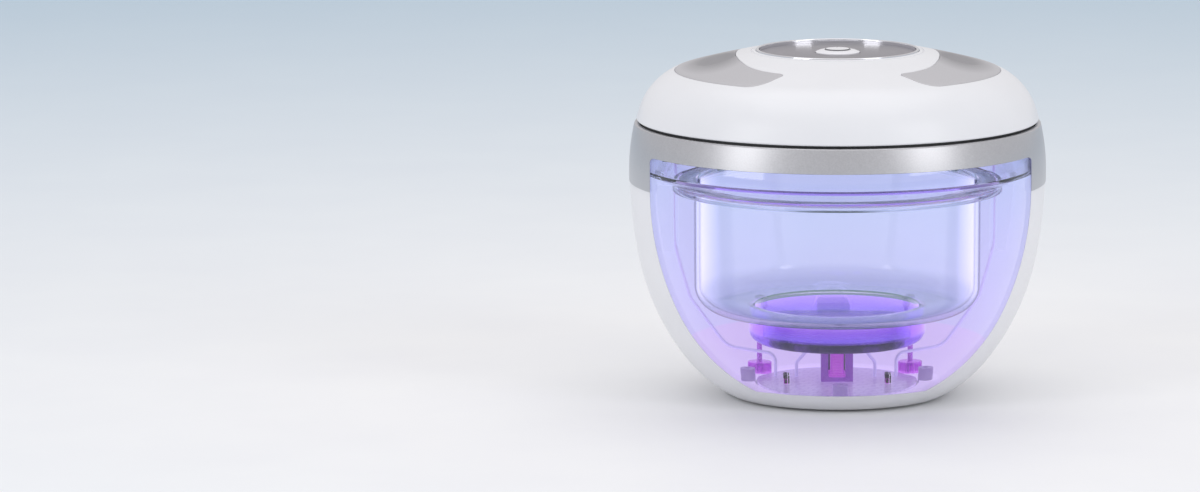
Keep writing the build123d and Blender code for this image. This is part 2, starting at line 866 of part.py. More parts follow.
def grip_hollow(inset):
    """Finger hollow's cutting form: an arc across the grip turned about a line along it."""
    height, angle = crown_point(hollow_r)
    normal = Vector(cos(radians(angle)), 0, sin(radians(angle)))
    along = Vector(normal.Z, 0, -normal.X)
    seat = Vector(hollow_r, 0, height)
    pivot = hollow_along_radius - hollow_depth
    with BuildPart() as hollow:
        with BuildSketch(Plane(origin=seat, x_dir=along, z_dir=(0, -1, 0))):
            with Locations((0, hollow_across_radius - hollow_depth)):
                Circle(hollow_across_radius + inset)
            with Locations((0, pivot - hollow_along_radius)):
                Rectangle(4 * hollow_along_radius, 2 * hollow_along_radius, mode=Mode.INTERSECT)
        revolve(axis=Axis(seat + normal * pivot, along))
    return hollow.part


def hollowed_form(inset):
    """The casing's form at an inset, with both finger hollows pressed into it."""
    return cut_both_sides(casing_form(inset), grip_hollow(inset))


def grip_prism(shrink):
    """Upright block with the plan outline of the right grip."""
    heel_angle_plan = degrees(asin(grip_heel_y / grip_outer_r))
    heel = (grip_outer_r * cos(radians(heel_angle_plan)), grip_heel_y)
    with BuildPart() as prism:
        with BuildSketch(Plane.XY.offset(band_top)) as plan:
            with BuildLine() as outline:
                CenterArc((0, 0), grip_outer_r, -heel_angle_plan, 2 * heel_angle_plan)
                inner = ThreePointArc(
                    (grip_bend_x, -grip_bend_y), (grip_waist_x, 0), (grip_bend_x, grip_bend_y)
                )
                tail = TangentArc(inner @ 1, (grip_tip_x, grip_tip_y), tangent=inner % 1)
                Line(tail @ 1, heel)
                mirror([tail], about=Plane.XZ)
                Line((grip_tip_x, -grip_tip_y), (heel[0], -heel[1]))
            make_face()
            tips = plan.vertices().filter_by_position(Axis.X, grip_tip_x - fit_gap, grip_tip_x + fit_gap)
            fillet(tips, grip_tip_round)
            heels = plan.vertices().filter_by_position(Axis.X, heel[0] - fit_gap, heel[0] + fit_gap)
            fillet(heels, grip_heel_round)
            if shrink > 0:
                offset(amount=-shrink, mode=Mode.REPLACE)
        extrude(amount=widest_z)
    return prism.part


lid_core = hollowed_form(lid_wall)
grip_floor = hollowed_form(grip_thickness)
grip_under = hollowed_form(grip_thickness - fit_gap)

with BuildPart() as grip_pocket:
    add(grip_prism(0))
    add(grip_floor, mode=Mode.SUBTRACT)

with BuildPart() as lid_inner_posts:
    posts(lid_screw_places, lid_boss_r, bosses_bottom, bezel_top)
    tube(bezel_r + lid_wall, 0, badge_floor, bezel_top)
    add(full_form, mode=Mode.INTERSECT)
    posts(around(switch_post_circle_r, switch_post_angles), switch_post_r, switch_board_top, badge_floor)

with BuildPart() as lid_dome:
    turned(0, lid_bottom, sky)
    add(lid_core, mode=Mode.SUBTRACT)
    add(lid_inner_posts.part)

with BuildPart() as lid_shell:
    add(cut_both_sides(lid_dome.part, grip_pocket.part))
    tube(bezel_r + trim_gap, 0, badge_seat, sky, mode=Mode.SUBTRACT)
    tube(button_r + button_gap, 0, badge_floor, badge_seat, mode=Mode.SUBTRACT)
    posts(
        lid_screw_places,
        screw_r + fit_gap,
        bosses_bottom,
        bosses_bottom + lid_screw_length,
        mode=Mode.SUBTRACT,
    )
    with BuildSketch(Plane.XZ) as groove:
        with Locations((groove_r, crown_point(groove_r)[0])):
            Circle(groove_size)
    revolve(groove.sketch, axis=Axis.Z, mode=Mode.SUBTRACT)
    rim = lid_shell.edges().filter_by(GeomType.CIRCLE).filter_by_position(
        Axis.Z, lid_bottom - fit_gap, lid_bottom + fit_gap
    )
    fillet(rim.sort_by(SortBy.RADIUS)[-1], lid_edge)

# Silver grips let into the lid, each with its finger hollow
with BuildPart() as right_grip:
    add(grip_prism(trim_gap))
    add(full_form, mode=Mode.INTERSECT)
    add(grip_under, mode=Mode.SUBTRACT)
    add(grip_hollow(0), mode=Mode.SUBTRACT)

with BuildPart() as left_grip:
    add(right_grip.part.rotate(Axis.Z, 180))

# Lid tray: closes the lid from below, plugs into the deck's bore and carries the lamp board
with BuildPart() as lid_tray:
    tube(tray_r, 0, tray_bottom, tray_floor)
    tube(tray_r, tray_r - tray_wall, tray_floor, tray_top)
    fillet(lid_tray.edges().group_by(Axis.Z)[0], tray_edge)
    tube(lens_r - lens_ledge, 0, tray_bottom, tray_floor, mode=Mode.SUBTRACT)
    tube(lens_r + trim_gap, 0, lens_z, tray_floor, mode=Mode.SUBTRACT)
    posts(around(lamp_post_circle_r, lamp_post_angles), lamp_post_r, tray_floor, lamp_board_z)
    posts(
        around(lamp_post_circle_r, lamp_post_angles),
        lamp_peg_r,
        lamp_board_z,
        lamp_board_top + lamp_peg_height,
    )
    posts(lid_screw_places, screw_r + fit_gap, tray_bottom, tray_floor, mode=Mode.SUBTRACT)
    posts(
        lid_screw_places,
        screw_head_r + trim_gap,
        tray_bottom,
        tray_bottom + screw_head_height,
        mode=Mode.SUBTRACT,
    )
    posts(
        contact_places,
        pad_r + fit_gap,
        tray_bottom,
        tray_bottom + pad_thickness - pad_proud,
        mode=Mode.SUBTRACT,
    )
    posts(contact_places, pad_tail_r + fit_gap, tray_bottom, tray_floor, mode=Mode.SUBTRACT)

with BuildPart() as lid_screws:
    screws(lid_screw_places, tray_bottom, lid_screw_length)

with BuildPart() as lid_seal:
    tube(lid_seal_r, tray_r + fit_gap, deck_lip_z + deck_lip_thickness + seal_clearance, lid_bottom)

with BuildPart() as contact_pads:
    posts(contact_places, pad_r, tray_bottom - pad_proud, tray_bottom - pad_proud + pad_thickness)
    posts(contact_places, pad_tail_r, tray_bottom - pad_proud + pad_thickness, tray_floor)

# Lamp board over the lens, its lamps facing down into the tank
with BuildPart() as lamp_board:
    tube(lamp_board_r, 0, lamp_board_z, lamp_board_top)
    posts(
        around(lamp_post_circle_r, lamp_post_angles),
        lamp_peg_r + fit_gap,
        lamp_board_z,
        lamp_board_top,
        mode=Mode.SUBTRACT,
    )

lamp_places = around(lamp_circle_r, screw_angles)
with BuildPart() as uv_lamps:
    with BuildSketch(Plane.XY.offset(lamp_board_z)):
        with Locations(*lamp_places):
            Rectangle(lamp_width, lamp_width)
    extrude(amount=-lamp_height)
    lamp_face = lamp_board_z - lamp_height
    posts(lamp_places, lamp_dome_r, lamp_face - lamp_dome_height, lamp_face)

with BuildPart() as uv_lens:
    tube(lens_r, 0, lens_z, lens_z + lens_thickness)
    posts(
        around(lamp_post_circle_r, lamp_post_angles),
        lamp_post_r + trim_gap,
        lens_z,
        lens_z + lens_thickness,
        mode=Mode.SUBTRACT,
    )

# Badge, bezel, button and the switch under it
with BuildPart() as badge_plate:
    tube(badge_r, button_r + button_gap, badge_seat, badge_top)

with BuildPart() as badge_bezel:
    tube(bezel_r, badge_r + fit_gap, badge_seat, bezel_top)
    fillet(badge_bezel.edges().group_by(Axis.Z)[-1], bezel_round)

with BuildPart() as switch_board:
    tube(switch_board_r, 0, switch_board_z, switch_board_top)

with BuildPart() as tact_switch:
    with BuildSketch(Plane.XY.offset(switch_board_top)):
        RectangleRounded(switch_size, switch_size, switch_round)
    extrude(amount=switch_height)
    stem_pit = stem_depth + button_travel + trim_gap
    tube(stem_r + trim_gap, 0, switch_top - stem_pit, switch_top, mode=Mode.SUBTRACT)

with BuildPart() as switch_stem:
    tube(stem_r, 0, switch_top - stem_depth, stem_top)

with BuildPart() as power_button:
    with BuildSketch(Plane.XZ) as section:
        with BuildLine() as outline:
            Polyline(
                (0, button_dome_top),
                (0, stem_top),
                (plunger_r, stem_top),
                (plunger_r, flange_bottom),
                (button_flange_r, flange_bottom),
                (button_flange_r, flange_top),
                (button_r, flange_top),
                (button_r, badge_top + button_shoulder),
            )
            rise = button_dome_top - badge_top - button_shoulder
            dome_slope = 2 * atan2(rise, button_r - button_top_r)
            TangentArc(
                (button_r, badge_top + button_shoulder),
                (button_top_r, button_dome_top),
                tangent=(-cos(dome_slope), sin(dome_slope)),
            )
            Line((button_top_r, button_dome_top), (0, button_dome_top))
        make_face()
    revolve(axis=Axis.Z)
    tube(button_cap_r, 0, button_dome_top, button_top)
    fillet(power_button.edges().group_by(Axis.Z)[-1], button_round)

# Leads inside the lid
with BuildPart() as lid_leads:
    for angle in contact_angles:
        wire(
            radial_points(
                angle,
                [
                    (contact_r, tray_floor),
                    (contact_r, pad_lead_top),
                    (pad_lead_end_r, pad_lead_top),
                    (pad_lead_end_r, lamp_board_top),
                ],
            ),
            pad_lead_bend,
        )
    posts([(-link_x, link_y), (link_x, link_y)], lead_r, lamp_board_top, switch_board_z)

pieces = {
    "body_shell": body_shell_done,
    "collar_band": collar_band,
    "window_panel": window_panel,
    "base_plate": base_plate,
    "base_feet": base_feet,
    "base_screws": base_screws,
    "driver_board": driver_board,
    "transformer_core": transformer_core,
    "transformer_coil": transformer_coil,
    "power_transistors": power_transistors,
    "filter_capacitor": filter_capacitor,
    "tank": tank,
    "tank_seal": tank_seal,
    "diaphragm_plate": diaphragm_plate,
    "piezo_disc": piezo_disc,
    "piezo_leads": piezo_leads,
    "deck_liner": deck_liner,
    "pillar_knobs": pillar_knobs,
    "pillar_pins": pillar_pins,
    "pillar_caps": pillar_caps,
    "inlet_jack": inlet_jack,
    "inlet_pin": inlet_pin,
    "inlet_leads": inlet_leads,
    "contact_blocks": contact_blocks,
    "contact_leads": contact_leads,
    "contact_pins": contact_pins,
    "contact_springs": contact_springs,
    "lid_shell": lid_shell,
    "left_grip": left_grip,
    "right_grip": right_grip,
    "lid_tray": lid_tray,
    "lid_screws": lid_screws,
    "lid_seal": lid_seal,
    "contact_pads": contact_pads,
    "lamp_board": lamp_board,
    "uv_lamps": uv_lamps,
    "uv_lens": uv_lens,
    "badge_plate": badge_plate,
    "badge_bezel": badge_bezel,
    "switch_board": switch_board,
    "tact_switch": tact_switch,
    "switch_stem": switch_stem,
    "power_button": power_button,
    "lid_leads": lid_leads,
}
for node_name, piece in pieces.items():
    piece.part.label = node_name
    export_step(piece.part, f"parts/{node_name}.step")
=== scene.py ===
from math import asin, atan2, ceil, cos, degrees, hypot, pi, radians, sin, sqrt

import bmesh
import bpy
from mathutils import Matrix, Vector
from mathutils.geometry import delaunay_2d_cdt


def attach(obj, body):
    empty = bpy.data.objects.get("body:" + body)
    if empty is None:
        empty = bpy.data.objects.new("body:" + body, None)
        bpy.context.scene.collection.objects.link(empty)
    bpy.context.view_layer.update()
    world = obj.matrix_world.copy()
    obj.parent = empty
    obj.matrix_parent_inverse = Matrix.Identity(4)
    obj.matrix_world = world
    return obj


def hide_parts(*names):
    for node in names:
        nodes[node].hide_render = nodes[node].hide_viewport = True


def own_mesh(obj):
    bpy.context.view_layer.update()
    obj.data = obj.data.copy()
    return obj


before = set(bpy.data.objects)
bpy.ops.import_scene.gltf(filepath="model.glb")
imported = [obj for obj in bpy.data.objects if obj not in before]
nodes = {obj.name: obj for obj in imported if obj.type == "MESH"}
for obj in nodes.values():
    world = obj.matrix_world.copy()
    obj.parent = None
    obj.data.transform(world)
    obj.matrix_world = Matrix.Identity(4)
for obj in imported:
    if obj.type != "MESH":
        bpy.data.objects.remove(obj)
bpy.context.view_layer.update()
MM = 0.001
bpy.context.scene.view_settings.view_transform = "Standard"

# Studio
# A sheet of pale matt paper that turns a little bluer with distance, with soft boxes on both sides
# of the camera and one overhead. The paper keeps the cleaner's soft shadow.


def colour(code):
    """Linear red, green, blue and alpha of an sRGB hex colour such as #E6E6EA."""
    parts = [int(code[i : i + 2], 16) / 255 for i in (1, 3, 5)]
    return tuple(p / 12.92 if p <= 0.04045 else ((p + 0.055) / 1.055) ** 2.4 for p in parts) + (1.0,)


def add(tree, kind, inputs=None, **settings):
    """Adds a node with its settings, and sets or links its inputs."""
    made = tree.nodes.new(kind if kind.startswith("GeometryNode") else "ShaderNode" + kind)
    for name, value in settings.items():
        setattr(made, name, value)
    for key, value in (inputs or {}).items():
        if isinstance(value, bpy.types.NodeSocket):
            tree.links.new(value, made.inputs[key])
        else:
            made.inputs[key].default_value = value
    return made


def finish(name, code, **values):
    """A material with one Principled shader. Returns the material, its tree and the shader."""
    made = bpy.data.materials.new(name)
    made.use_nodes = True
    tree = made.node_tree
    shader = tree.nodes["Principled BSDF"]
    for key, value in {"Base_Color": code, **values}.items():
        given = colour(value) if isinstance(value, str) else value
        shader.inputs[key.replace("_", " ")].default_value = given
    return made, tree, shader


def placed(tree, sizes=(1.0, 1.0, 1.0), turn=(0.0, 0.0, 0.0)):
    """Object coordinates, turned and scaled."""
    where = add(tree, "TexCoord").outputs["Object"]
    mapping = add(tree, "Mapping", {"Vector": where, "Rotation": turn, "Scale": sizes})
    return mapping.outputs["Vector"]


def grain(tree, size, detail=3.0, vector=None):
    """Noise whose features are about a size in millimetres."""
    inputs = {"Vector": vector or placed(tree), "Scale": 1 / (size * MM), "Detail": detail}
    return add(tree, "TexNoise", inputs).outputs["Fac"]


def between(tree, value, low, high, source=(0.3, 0.7)):
    """A value spread from its own range to another one."""
    ends = {"From Min": source[0], "From Max": source[1], "To Min": low, "To Max": high}
    return add(tree, "MapRange", {"Value": value, **ends}).outputs["Result"]


def blended(tree, share, first, second):
    """A colour between two hex colours or colour sockets."""
    ends = {key: colour(end) if isinstance(end, str) else end for key, end in ((6, first), (7, second))}
    return add(tree, "Mix", {0: share, **ends}, data_type="RGBA").outputs[2]


def varied(tree, shader, pattern, rough, codes=None):
    """Spreads a pattern over a shader's roughness, and over its colour between two hex colours."""
    tree.links.new(between(tree, pattern, *rough), shader.inputs["Roughness"])
    if codes:
        share = between(tree, pattern, 0.0, 1.0)
        tree.links.new(blended(tree, share, *codes), shader.inputs["Base Color"])


def bumped(tree, shader, height, depth):
    """Bumps a shader by a height texture, with a depth in millimetres."""
    made = add(tree, "Bump", {"Height": height, "Distance": depth * MM, "Strength": 1.0})
    tree.links.new(made.outputs["Normal"], shader.inputs["Normal"])


def shown(name, data):
    """A new object in the scene."""
    piece = bpy.data.objects.new(name, data)
    bpy.context.scene.collection.objects.link(piece)
    return piece


def smoothed(data, angle=35):
    """Gives a mesh soft shading up to an angle in degrees."""
    data.polygons.foreach_set("use_smooth", [True] * len(data.polygons))
    data.set_sharp_from_angle(angle=radians(angle))


def mesh_piece(name, made, material, smooth=35):
    """An object from a bmesh, with soft shading up to an angle in degrees."""
    data = bpy.data.meshes.new(name)
    made.to_mesh(data)
    made.free()
    data.materials.append(material)
    smoothed(data, smooth)
    return shown(name, data)


def strip(made, rows, closed=False):
    """Faces between rows of vertices."""
    for a, b in zip(rows, rows[1:]):
        for i in range(len(a) if closed else len(a) - 1):
            j = (i + 1) % len(a)
            made.faces.new((a[i], a[j], b[j], b[i]))


def circle_row(made, r, z, columns):
    """A ring of vertices round the upright axis, in millimetres."""
    turns = [2 * pi * i / columns for i in range(columns)]
    return [made.verts.new(Vector((r * cos(turn), r * sin(turn), z)) * MM) for turn in turns]


floor_rings, floor_columns = (6000.0, 2500.0, 1000.0, 300.0, 0.0), 48


def paper_sheet():
    """The floor as one round sheet."""
    made = bmesh.new()
    strip(made, [circle_row(made, r, 0.0, floor_columns) for r in floor_rings], closed=True)
    bmesh.ops.remove_doubles(made, verts=made.verts, dist=0.001 * MM)
    return made


# Matt paper: an even white that keeps soft shadows and turns bluer away from the cleaner.
paper, tree, shader = finish("matt_paper", "#F0F1F3", Roughness=0.6)
cloud = blended(tree, between(tree, grain(tree, 60.0), 0.0, 1.0), "#EEEFF2", "#F1F2F4")
from_middle = add(tree, "VectorMath", {0: placed(tree)}, operation="LENGTH").outputs["Value"]
away = between(tree, from_middle, 0.0, 1.0, (0.15, 1.3))
tree.links.new(blended(tree, away, cloud, "#BCD6E9"), shader.inputs["Base Color"])
floor = mesh_piece("paper_floor", paper_sheet(), paper)

world = bpy.data.worlds.new("studio_air")
bpy.context.scene.world = world
world.use_nodes = True
air = world.node_tree.nodes["Background"]
air.inputs["Color"].default_value = colour("#FAF8F9")
air.inputs["Strength"].default_value = 0.73


def soft_box(name, size, power, place, aim):
    """A rectangular soft box that points at a place."""
    data = bpy.data.lights.new(name, "AREA")
    data.shape = "RECTANGLE"
    data.size, data.size_y = size
    data.energy = power
    lamp = shown(name, data)
    lamp.location = place
    lamp.rotation_euler = (Vector(aim) - Vector(place)).to_track_quat("-Z", "Y").to_euler()


soft_box("left_box", (0.6, 0.9), 3.6, (-1.05, -0.75, 0.50), (0, 0, 0.06))
soft_box("right_box", (0.6, 0.9), 3.6, (0.95, -0.80, 0.55), (0, 0, 0.06))
soft_box("top_box", (1.4, 1.2), 5.0, (0.0, 0.1, 1.3), (0, 0, 0.05))

# Camera at the photograph's height and distance. The cleaner stands right of its middle.
camera_side, camera_aim_z = -0.0745, 0.0471
camera_distance, camera_lens = 1.99, 190.0
camera_tilt, camera_roll = radians(9.0), radians(-0.2)
camera_data = bpy.data.cameras.new("camera")
camera_data.lens = camera_lens
camera_data.sensor_width = 36.0
camera_data.clip_start = 0.05
camera = shown("camera", camera_data)
camera_rise = camera_distance * sin(camera_tilt)
camera.location = (camera_side, -camera_distance * cos(camera_tilt), camera_aim_z + camera_rise)
aim = Vector((camera_side, 0, camera_aim_z)) - camera.location
turn = aim.to_track_quat("-Z", "Y").to_matrix().to_4x4() @ Matrix.Rotation(camera_roll, 4, "Z")
camera.rotation_euler = turn.to_euler()
bpy.context.scene.camera = camera

# Casing shell
# The egg-shaped lower housing, moulded in glossy white ABS with a wall of 2.4 mm. Its front opening
# has a step for the clear panel. Inside it are a ledge and four screw bosses for the base plate, the
# recessed seat of the power inlet, and two pairs of ribs that guide the contacts' wires.

widest_r, widest_z = 65.0, 71.5
rising = ((64.9, 17.0), (19.7, 74.7), (300.0, 90.0))
falling = ((143.0, 10.6), (77.1, 37.4), (42.0, 76.0))
shell_bottom, shell_top = 0.8, 68.2
shell_wall, skin, rebate = 2.4, 1.2, 2.0
ledge_r, ledge_low, ledge_high, plate_seat_r = 26.2, 2.0, 3.2, 31.1
window_half, window_low, window_high = 59.0, 6.5, 79.0
window_turn_z, window_corner = 68.5, 1.5
window_upper, window_upper_angle, window_lower = 86.1, radians(26.6), 52.1
front_columns, back_columns = 96, 176
boss_circle, boss_r, boss_bore, boss_top = 28.2, 2.4, 1.05, 8.0
boss_places = [(boss_circle * x, boss_circle * y) for x, y in ((1, 0), (0, 1), (-1, 0), (0, -1))]
guide_angles = (24.0, 156.0)
guide_low, guide_high, guide_inner_r = 42.0, 63.0, 55.8
guide_half, guide_thick, guide_steps = 2.1, 1.0, 8
inlet_z, inlet_y, inlet_wall = 18.0, 45.5, 2.0
inlet_recess, inlet_rim, inlet_barrel = 5.5, 1.8, 5.0


def casing_arcs():
    """Centre, radius and both end angles of each tangent arc, from the heel to the crown."""
    found = []
    for side, arcs in ((-1, falling), (1, rising)):
        last_radius, last_angle = arcs[0][0], 0.0
        x, z = widest_r - last_radius, widest_z
        run = []
        for radius, angle in arcs:
            x += (last_radius - radius) * cos(radians(last_angle))
            z += (last_radius - radius) * sin(radians(last_angle)) * side
            run.append((x, z, radius, *sorted((last_angle * side, angle * side))))
            last_radius, last_angle = radius, angle
        found += run[::-1] if side < 0 else run
    return found


casing = casing_arcs()


def casing_r(z, inset=0.0):
    """Radius of the casing's form at a height and an inset."""
    for x, mid, radius, low, high in casing:
        reach = radius - inset
        if z <= mid + reach * sin(radians(high)) or high == casing[-1][4]:
            return x + sqrt(max(0.0, reach * reach - (z - mid) ** 2))
    return 0.0


line_step = 1.3


def casing_line(low, high, inset=0.0):
    """Radius and height of points up the form between two heights."""
    line = [(casing_r(low, inset), low)]
    for x, mid, radius, first, last in casing:
        reach = radius - inset
        count = max(2, ceil(reach * radians(last - first) / line_step))
        for i in range(count):
            angle = radians(first + (last - first) * i / count)
            z = mid + reach * sin(angle)
            if low + 0.15 < z < high - 0.15:
                line.append((x + reach * cos(angle), z))
    line.append((casing_r(high, inset), high))
    return line


def casing_normal(r, z):
    """Outward normal of the form in the half section, and the inset at a point."""
    for x, mid, radius, low, high in casing:
        angle = degrees(atan2(z - mid, r - x))
        if low - 1e-3 <= angle <= high + 1e-3:
            return cos(radians(angle)), sin(radians(angle)), radius - hypot(r - x, z - mid)
    return None


def true_normals(piece, *insets):
    """Gives faces that lie on the form, at one of these insets, the form's own normals."""
    data = piece.data
    told = [(0.0, 0.0, 0.0)] * len(data.loops)
    for face in data.polygons:
        for index in face.loop_indices:
            x, y, z = data.vertices[data.loops[index].vertex_index].co / MM
            r = hypot(x, y)
            found = casing_normal(r, z) if r > 1e-3 else None
            if found and min(abs(found[2] - inset) for inset in insets) < 0.01:
                normal = Vector((found[0] * x / r, found[0] * y / r, found[1]))
                side = normal.dot(face.normal)
                if abs(side) > 0.9:
                    told[index] = normal if side > 0 else -normal
    data.normals_split_custom_set(told)


def arc(x, z, radius, start, end, count):
    """Points round a middle, from one angle to another."""
    turns = [start + (end - start) * i / count for i in range(count + 1)]
    return [(x + radius * cos(turn), z + radius * sin(turn)) for turn in turns]


def window_edge(grow):
    """Right edge of the window, grown outwards, from the middle of its bottom to the middle of its
    top, as points x and z. The bottom and top runs have half the front's columns each."""
    upper_x = window_half - window_upper
    lower_x = upper_x + (window_upper - window_lower) * cos(window_upper_angle)
    lower_z = window_turn_z - (window_upper - window_lower) * sin(window_upper_angle)
    bottom, top, side = window_low - grow, window_high + grow, window_half + grow
    corner, upper, lower = window_corner + grow, window_upper + grow, window_lower + grow
    start_z = bottom + corner
    start = asin((start_z - lower_z) / (lower - corner))
    corner_x = lower_x + (lower - corner) * cos(start)
    half = front_columns // 2
    points = [(corner_x * i / half, bottom) for i in range(half)]
    points += arc(corner_x, start_z, corner, -pi / 2, start, 6)
    points += arc(lower_x, lower_z, lower, start, -window_upper_angle, 28)[1:]
    points += arc(upper_x, window_turn_z, upper, -window_upper_angle, 0.0, 20)[1:]
    straight = top - corner - window_turn_z
    points += [(side, window_turn_z + straight * i / 6) for i in range(1, 7)]
    points += arc(side - corner, top - corner, corner, 0.0, pi / 2, 6)[1:]
    return points + [((side - corner) * (1 - i / half), top) for i in range(1, half + 1)]


def side_edge(points, low, high):
    """The part of a window edge between two heights, without its bottom and top runs."""
    half = front_columns // 2
    kept = [p for p in points[half : len(points) - half] if low + 0.3 < p[1] < high - 0.3]
    low_x = points[half][0] if points[half][1] >= low else kept[0][0]
    low_z = max(low, points[half][1])
    last = points[len(points) - half - 1]
    high_x, high_z = (last[0], last[1]) if last[1] <= high else (kept[-1][0], high)
    return [(low_x, low_z), *kept, (high_x, high_z)]


def back_row(made, edge_x, r, z):
    """Vertices round the back of a turned surface, from the window's right edge to its left."""
    start = asin(min(1.0, edge_x / r))
    angles = [start + (2 * pi - 2 * start) * i / back_columns for i in range(back_columns + 1)]
    return [made.verts.new(Vector((r * sin(a), -r * cos(a), z)) * MM) for a in angles]


def front_row(made, half_x, r, z):
    """Vertices across the front of a turned surface, between both edges of the window."""
    xs = [half_x * (2 * i / front_columns - 1) for i in range(front_columns + 1)]
    return [made.verts.new(Vector((x, -sqrt(r * r - x * x), z)) * MM) for x in xs]


def whole_row(made, half_x, r, z):
    """One full ring of vertices, with the columns of the front and of the back."""
    return front_row(made, half_x, r, z)[:-1] + back_row(made, half_x, r, z)[:-1]


def edge_strips(made, faces):
    """Faces along both sides of the window, from one edge and radius rule to the next."""
    for side in (1, -1):
        rows = []
        for points, radius in faces:
            spots = [(side * x, -sqrt(radius(z) ** 2 - x * x), z) for x, z in points]
            rows.append([made.verts.new(Vector(spot) * MM) for spot in spots])
        strip(made, rows)


def eased_rings(made, path, low_x, high_x):
    """Whole rings up a line, whose front reaches from the window's edge at one end of the line to
    its edge at the other."""
    first, last = asin(low_x / path[0][0]), asin(high_x / path[-1][0])
    rings = []
    for i, (r, z) in enumerate(path):
        turn = first + (last - first) * i / (len(path) - 1)
        rings.append(whole_row(made, r * sin(turn), r, z))
    strip(made, rings, closed=True)


def sealed(made, gap=0.004):
    """Merges what lies together, closes what is left open and turns faces outwards."""
    bmesh.ops.remove_doubles(made, verts=made.verts, dist=gap * MM)
    bmesh.ops.dissolve_degenerate(made, edges=made.edges, dist=gap * MM)
    bmesh.ops.holes_fill(made, edges=[e for e in made.edges if e.is_boundary], sides=0)
    bmesh.ops.recalc_face_normals(made, faces=made.faces)
    return made


def at(inset):
    """Radius rule of the casing's form at an inset."""
    return lambda z: casing_r(z, inset)


def shell_mesh():
    """The lower housing: sides round the window, whole rings under it, and the step in its edge."""
    made = bmesh.new()
    outer, inner = window_edge(0.0), window_edge(rebate)
    outer_side = side_edge(outer, 0.0, shell_top)
    inner_side = side_edge(inner, 0.0, shell_top)
    strip(made, [back_row(made, x, casing_r(z), z) for x, z in outer_side])
    strip(made, [back_row(made, x, casing_r(z, shell_wall), z) for x, z in inner_side])
    rim = []
    for (x, z), inset in ((outer_side[-1], 0.0), (inner_side[-1], shell_wall)):
        rim.append(back_row(made, x, casing_r(z, inset), z))
    strip(made, rim)
    path = casing_line(shell_bottom, outer_side[0][1])[::-1]
    path += [(plate_seat_r, shell_bottom), (plate_seat_r, ledge_low)]
    path += [(ledge_r, ledge_low), (ledge_r, ledge_high)]
    path += casing_line(ledge_high, inner_side[0][1], shell_wall)
    eased_rings(made, path, outer_side[0][0], inner_side[0][0])
    half = front_columns // 2
    run, tread = outer[:half] + outer_side, inner[:half] + inner_side
    edge_strips(made, [(run, at(0)), (run, at(skin)), (tread, at(skin)), (tread, at(shell_wall))])
    return sealed(made)


def bar(made, rows):
    """A closed solid through rows of points, from one end to the other."""
    rings = [[made.verts.new(Vector(point) * MM) for point in row] for row in rows]
    strip(made, rings, closed=True)
    made.faces.new(rings[0])
    made.faces.new(rings[-1])


def circle_points(radius, place, columns=48):
    """Points of a circle, put in place by a rule for its two directions."""
    turns = [2 * pi * i / columns for i in range(columns)]
    return [place(radius * cos(turn), radius * sin(turn)) for turn in turns]


def post(made, place, radius, low, high, columns):
    """An upright round bar at a place."""
    rise = Vector((place[0], place[1], 0.0))
    rows = [circle_points(radius, lambda x, y: rise + Vector((x, y, z)), columns) for z in (low, high)]
    bar(made, rows)


def shell_additions():
    """The inlet's seat, the four screw bosses and the two pairs of wire guides."""
    made = bmesh.new()
    seat = inlet_recess + inlet_rim
    near = circle_points(seat, lambda x, z: (x, inlet_y - inlet_wall, inlet_z + z))
    far = [(x, sqrt(casing_r(z, skin) ** 2 - x * x), z) for x, y, z in near]
    bar(made, [near, far])
    for place in boss_places:
        post(made, place, boss_r, ledge_low + 0.05, boss_top, 32)
    for angle in guide_angles:
        along = Vector((cos(radians(angle)), sin(radians(angle)), 0.0))
        across = Vector((-along.y, along.x, 0.0))
        for middle in (-guide_half, guide_half):
            near, far = middle - guide_thick / 2, middle + guide_thick / 2
            rows = []
            for i in range(guide_steps + 1):
                z = guide_low + (guide_high - guide_low) * i / guide_steps
                reach = sqrt(casing_r(z, skin) ** 2 - middle * middle)
                corners = ((guide_inner_r, near), (reach, near), (reach, far), (guide_inner_r, far))
                rows.append([along * a + across * b + Vector((0.0, 0.0, z)) for a, b in corners])
            bar(made, rows)
    return sealed(made)


def shell_cuts():
    """The inlet's recess with the hole for its barrel, and the bores of the screw bosses."""
    made = bmesh.new()
    steps = (
        (inlet_barrel, inlet_y - inlet_wall - 0.5),
        (inlet_barrel, inlet_y),
        (inlet_recess, inlet_y),
        (inlet_recess, widest_r),
    )
    bar(made, [circle_points(r, lambda x, z: (x, y, inlet_z + z)) for r, y in steps])
    for place in boss_places:
        post(made, place, boss_bore, ledge_low - 0.5, boss_top + 0.5, 24)
    return sealed(made)


def joined(piece, made, operation):
    """Adds a solid to a piece or cuts it away, and keeps the result as a plain mesh."""
    data = bpy.data.meshes.new("tool")
    made.to_mesh(data)
    made.free()
    tool = shown("tool", data)
    change = piece.modifiers.new("made", "BOOLEAN")
    change.operation = operation
    change.solver = "EXACT"
    change.object = tool
    ready = piece.evaluated_get(bpy.context.evaluated_depsgraph_get())
    piece.data = bpy.data.meshes.new_from_object(ready)
    piece.modifiers.clear()
    bpy.data.objects.remove(tool)
    smoothed(piece.data)


flow_mm = 24.0


def moulded(name, code, second, grain_mm=0.45, depth=0.004, rough=(0.2, 0.27), **values):
    """Injection moulded plastic: faint flow mottling in its colour, a gloss that varies a little,
    and a fine skin, drawn a little coarser than it is so that it shows."""
    made, tree, shader = finish(name, code, **values)
    slow = between(tree, grain(tree, flow_mm, 2.0), 0.0, 1.0)
    tree.links.new(blended(tree, slow, code, second), shader.inputs["Base Color"])
    fine = grain(tree, grain_mm, 2.0)
    varied(tree, shader, fine, rough)
    bumped(tree, shader, fine, depth)
    return made, tree, shader


glow_step_z, glow_step_soft = 16.0 * MM, 0.3 * MM


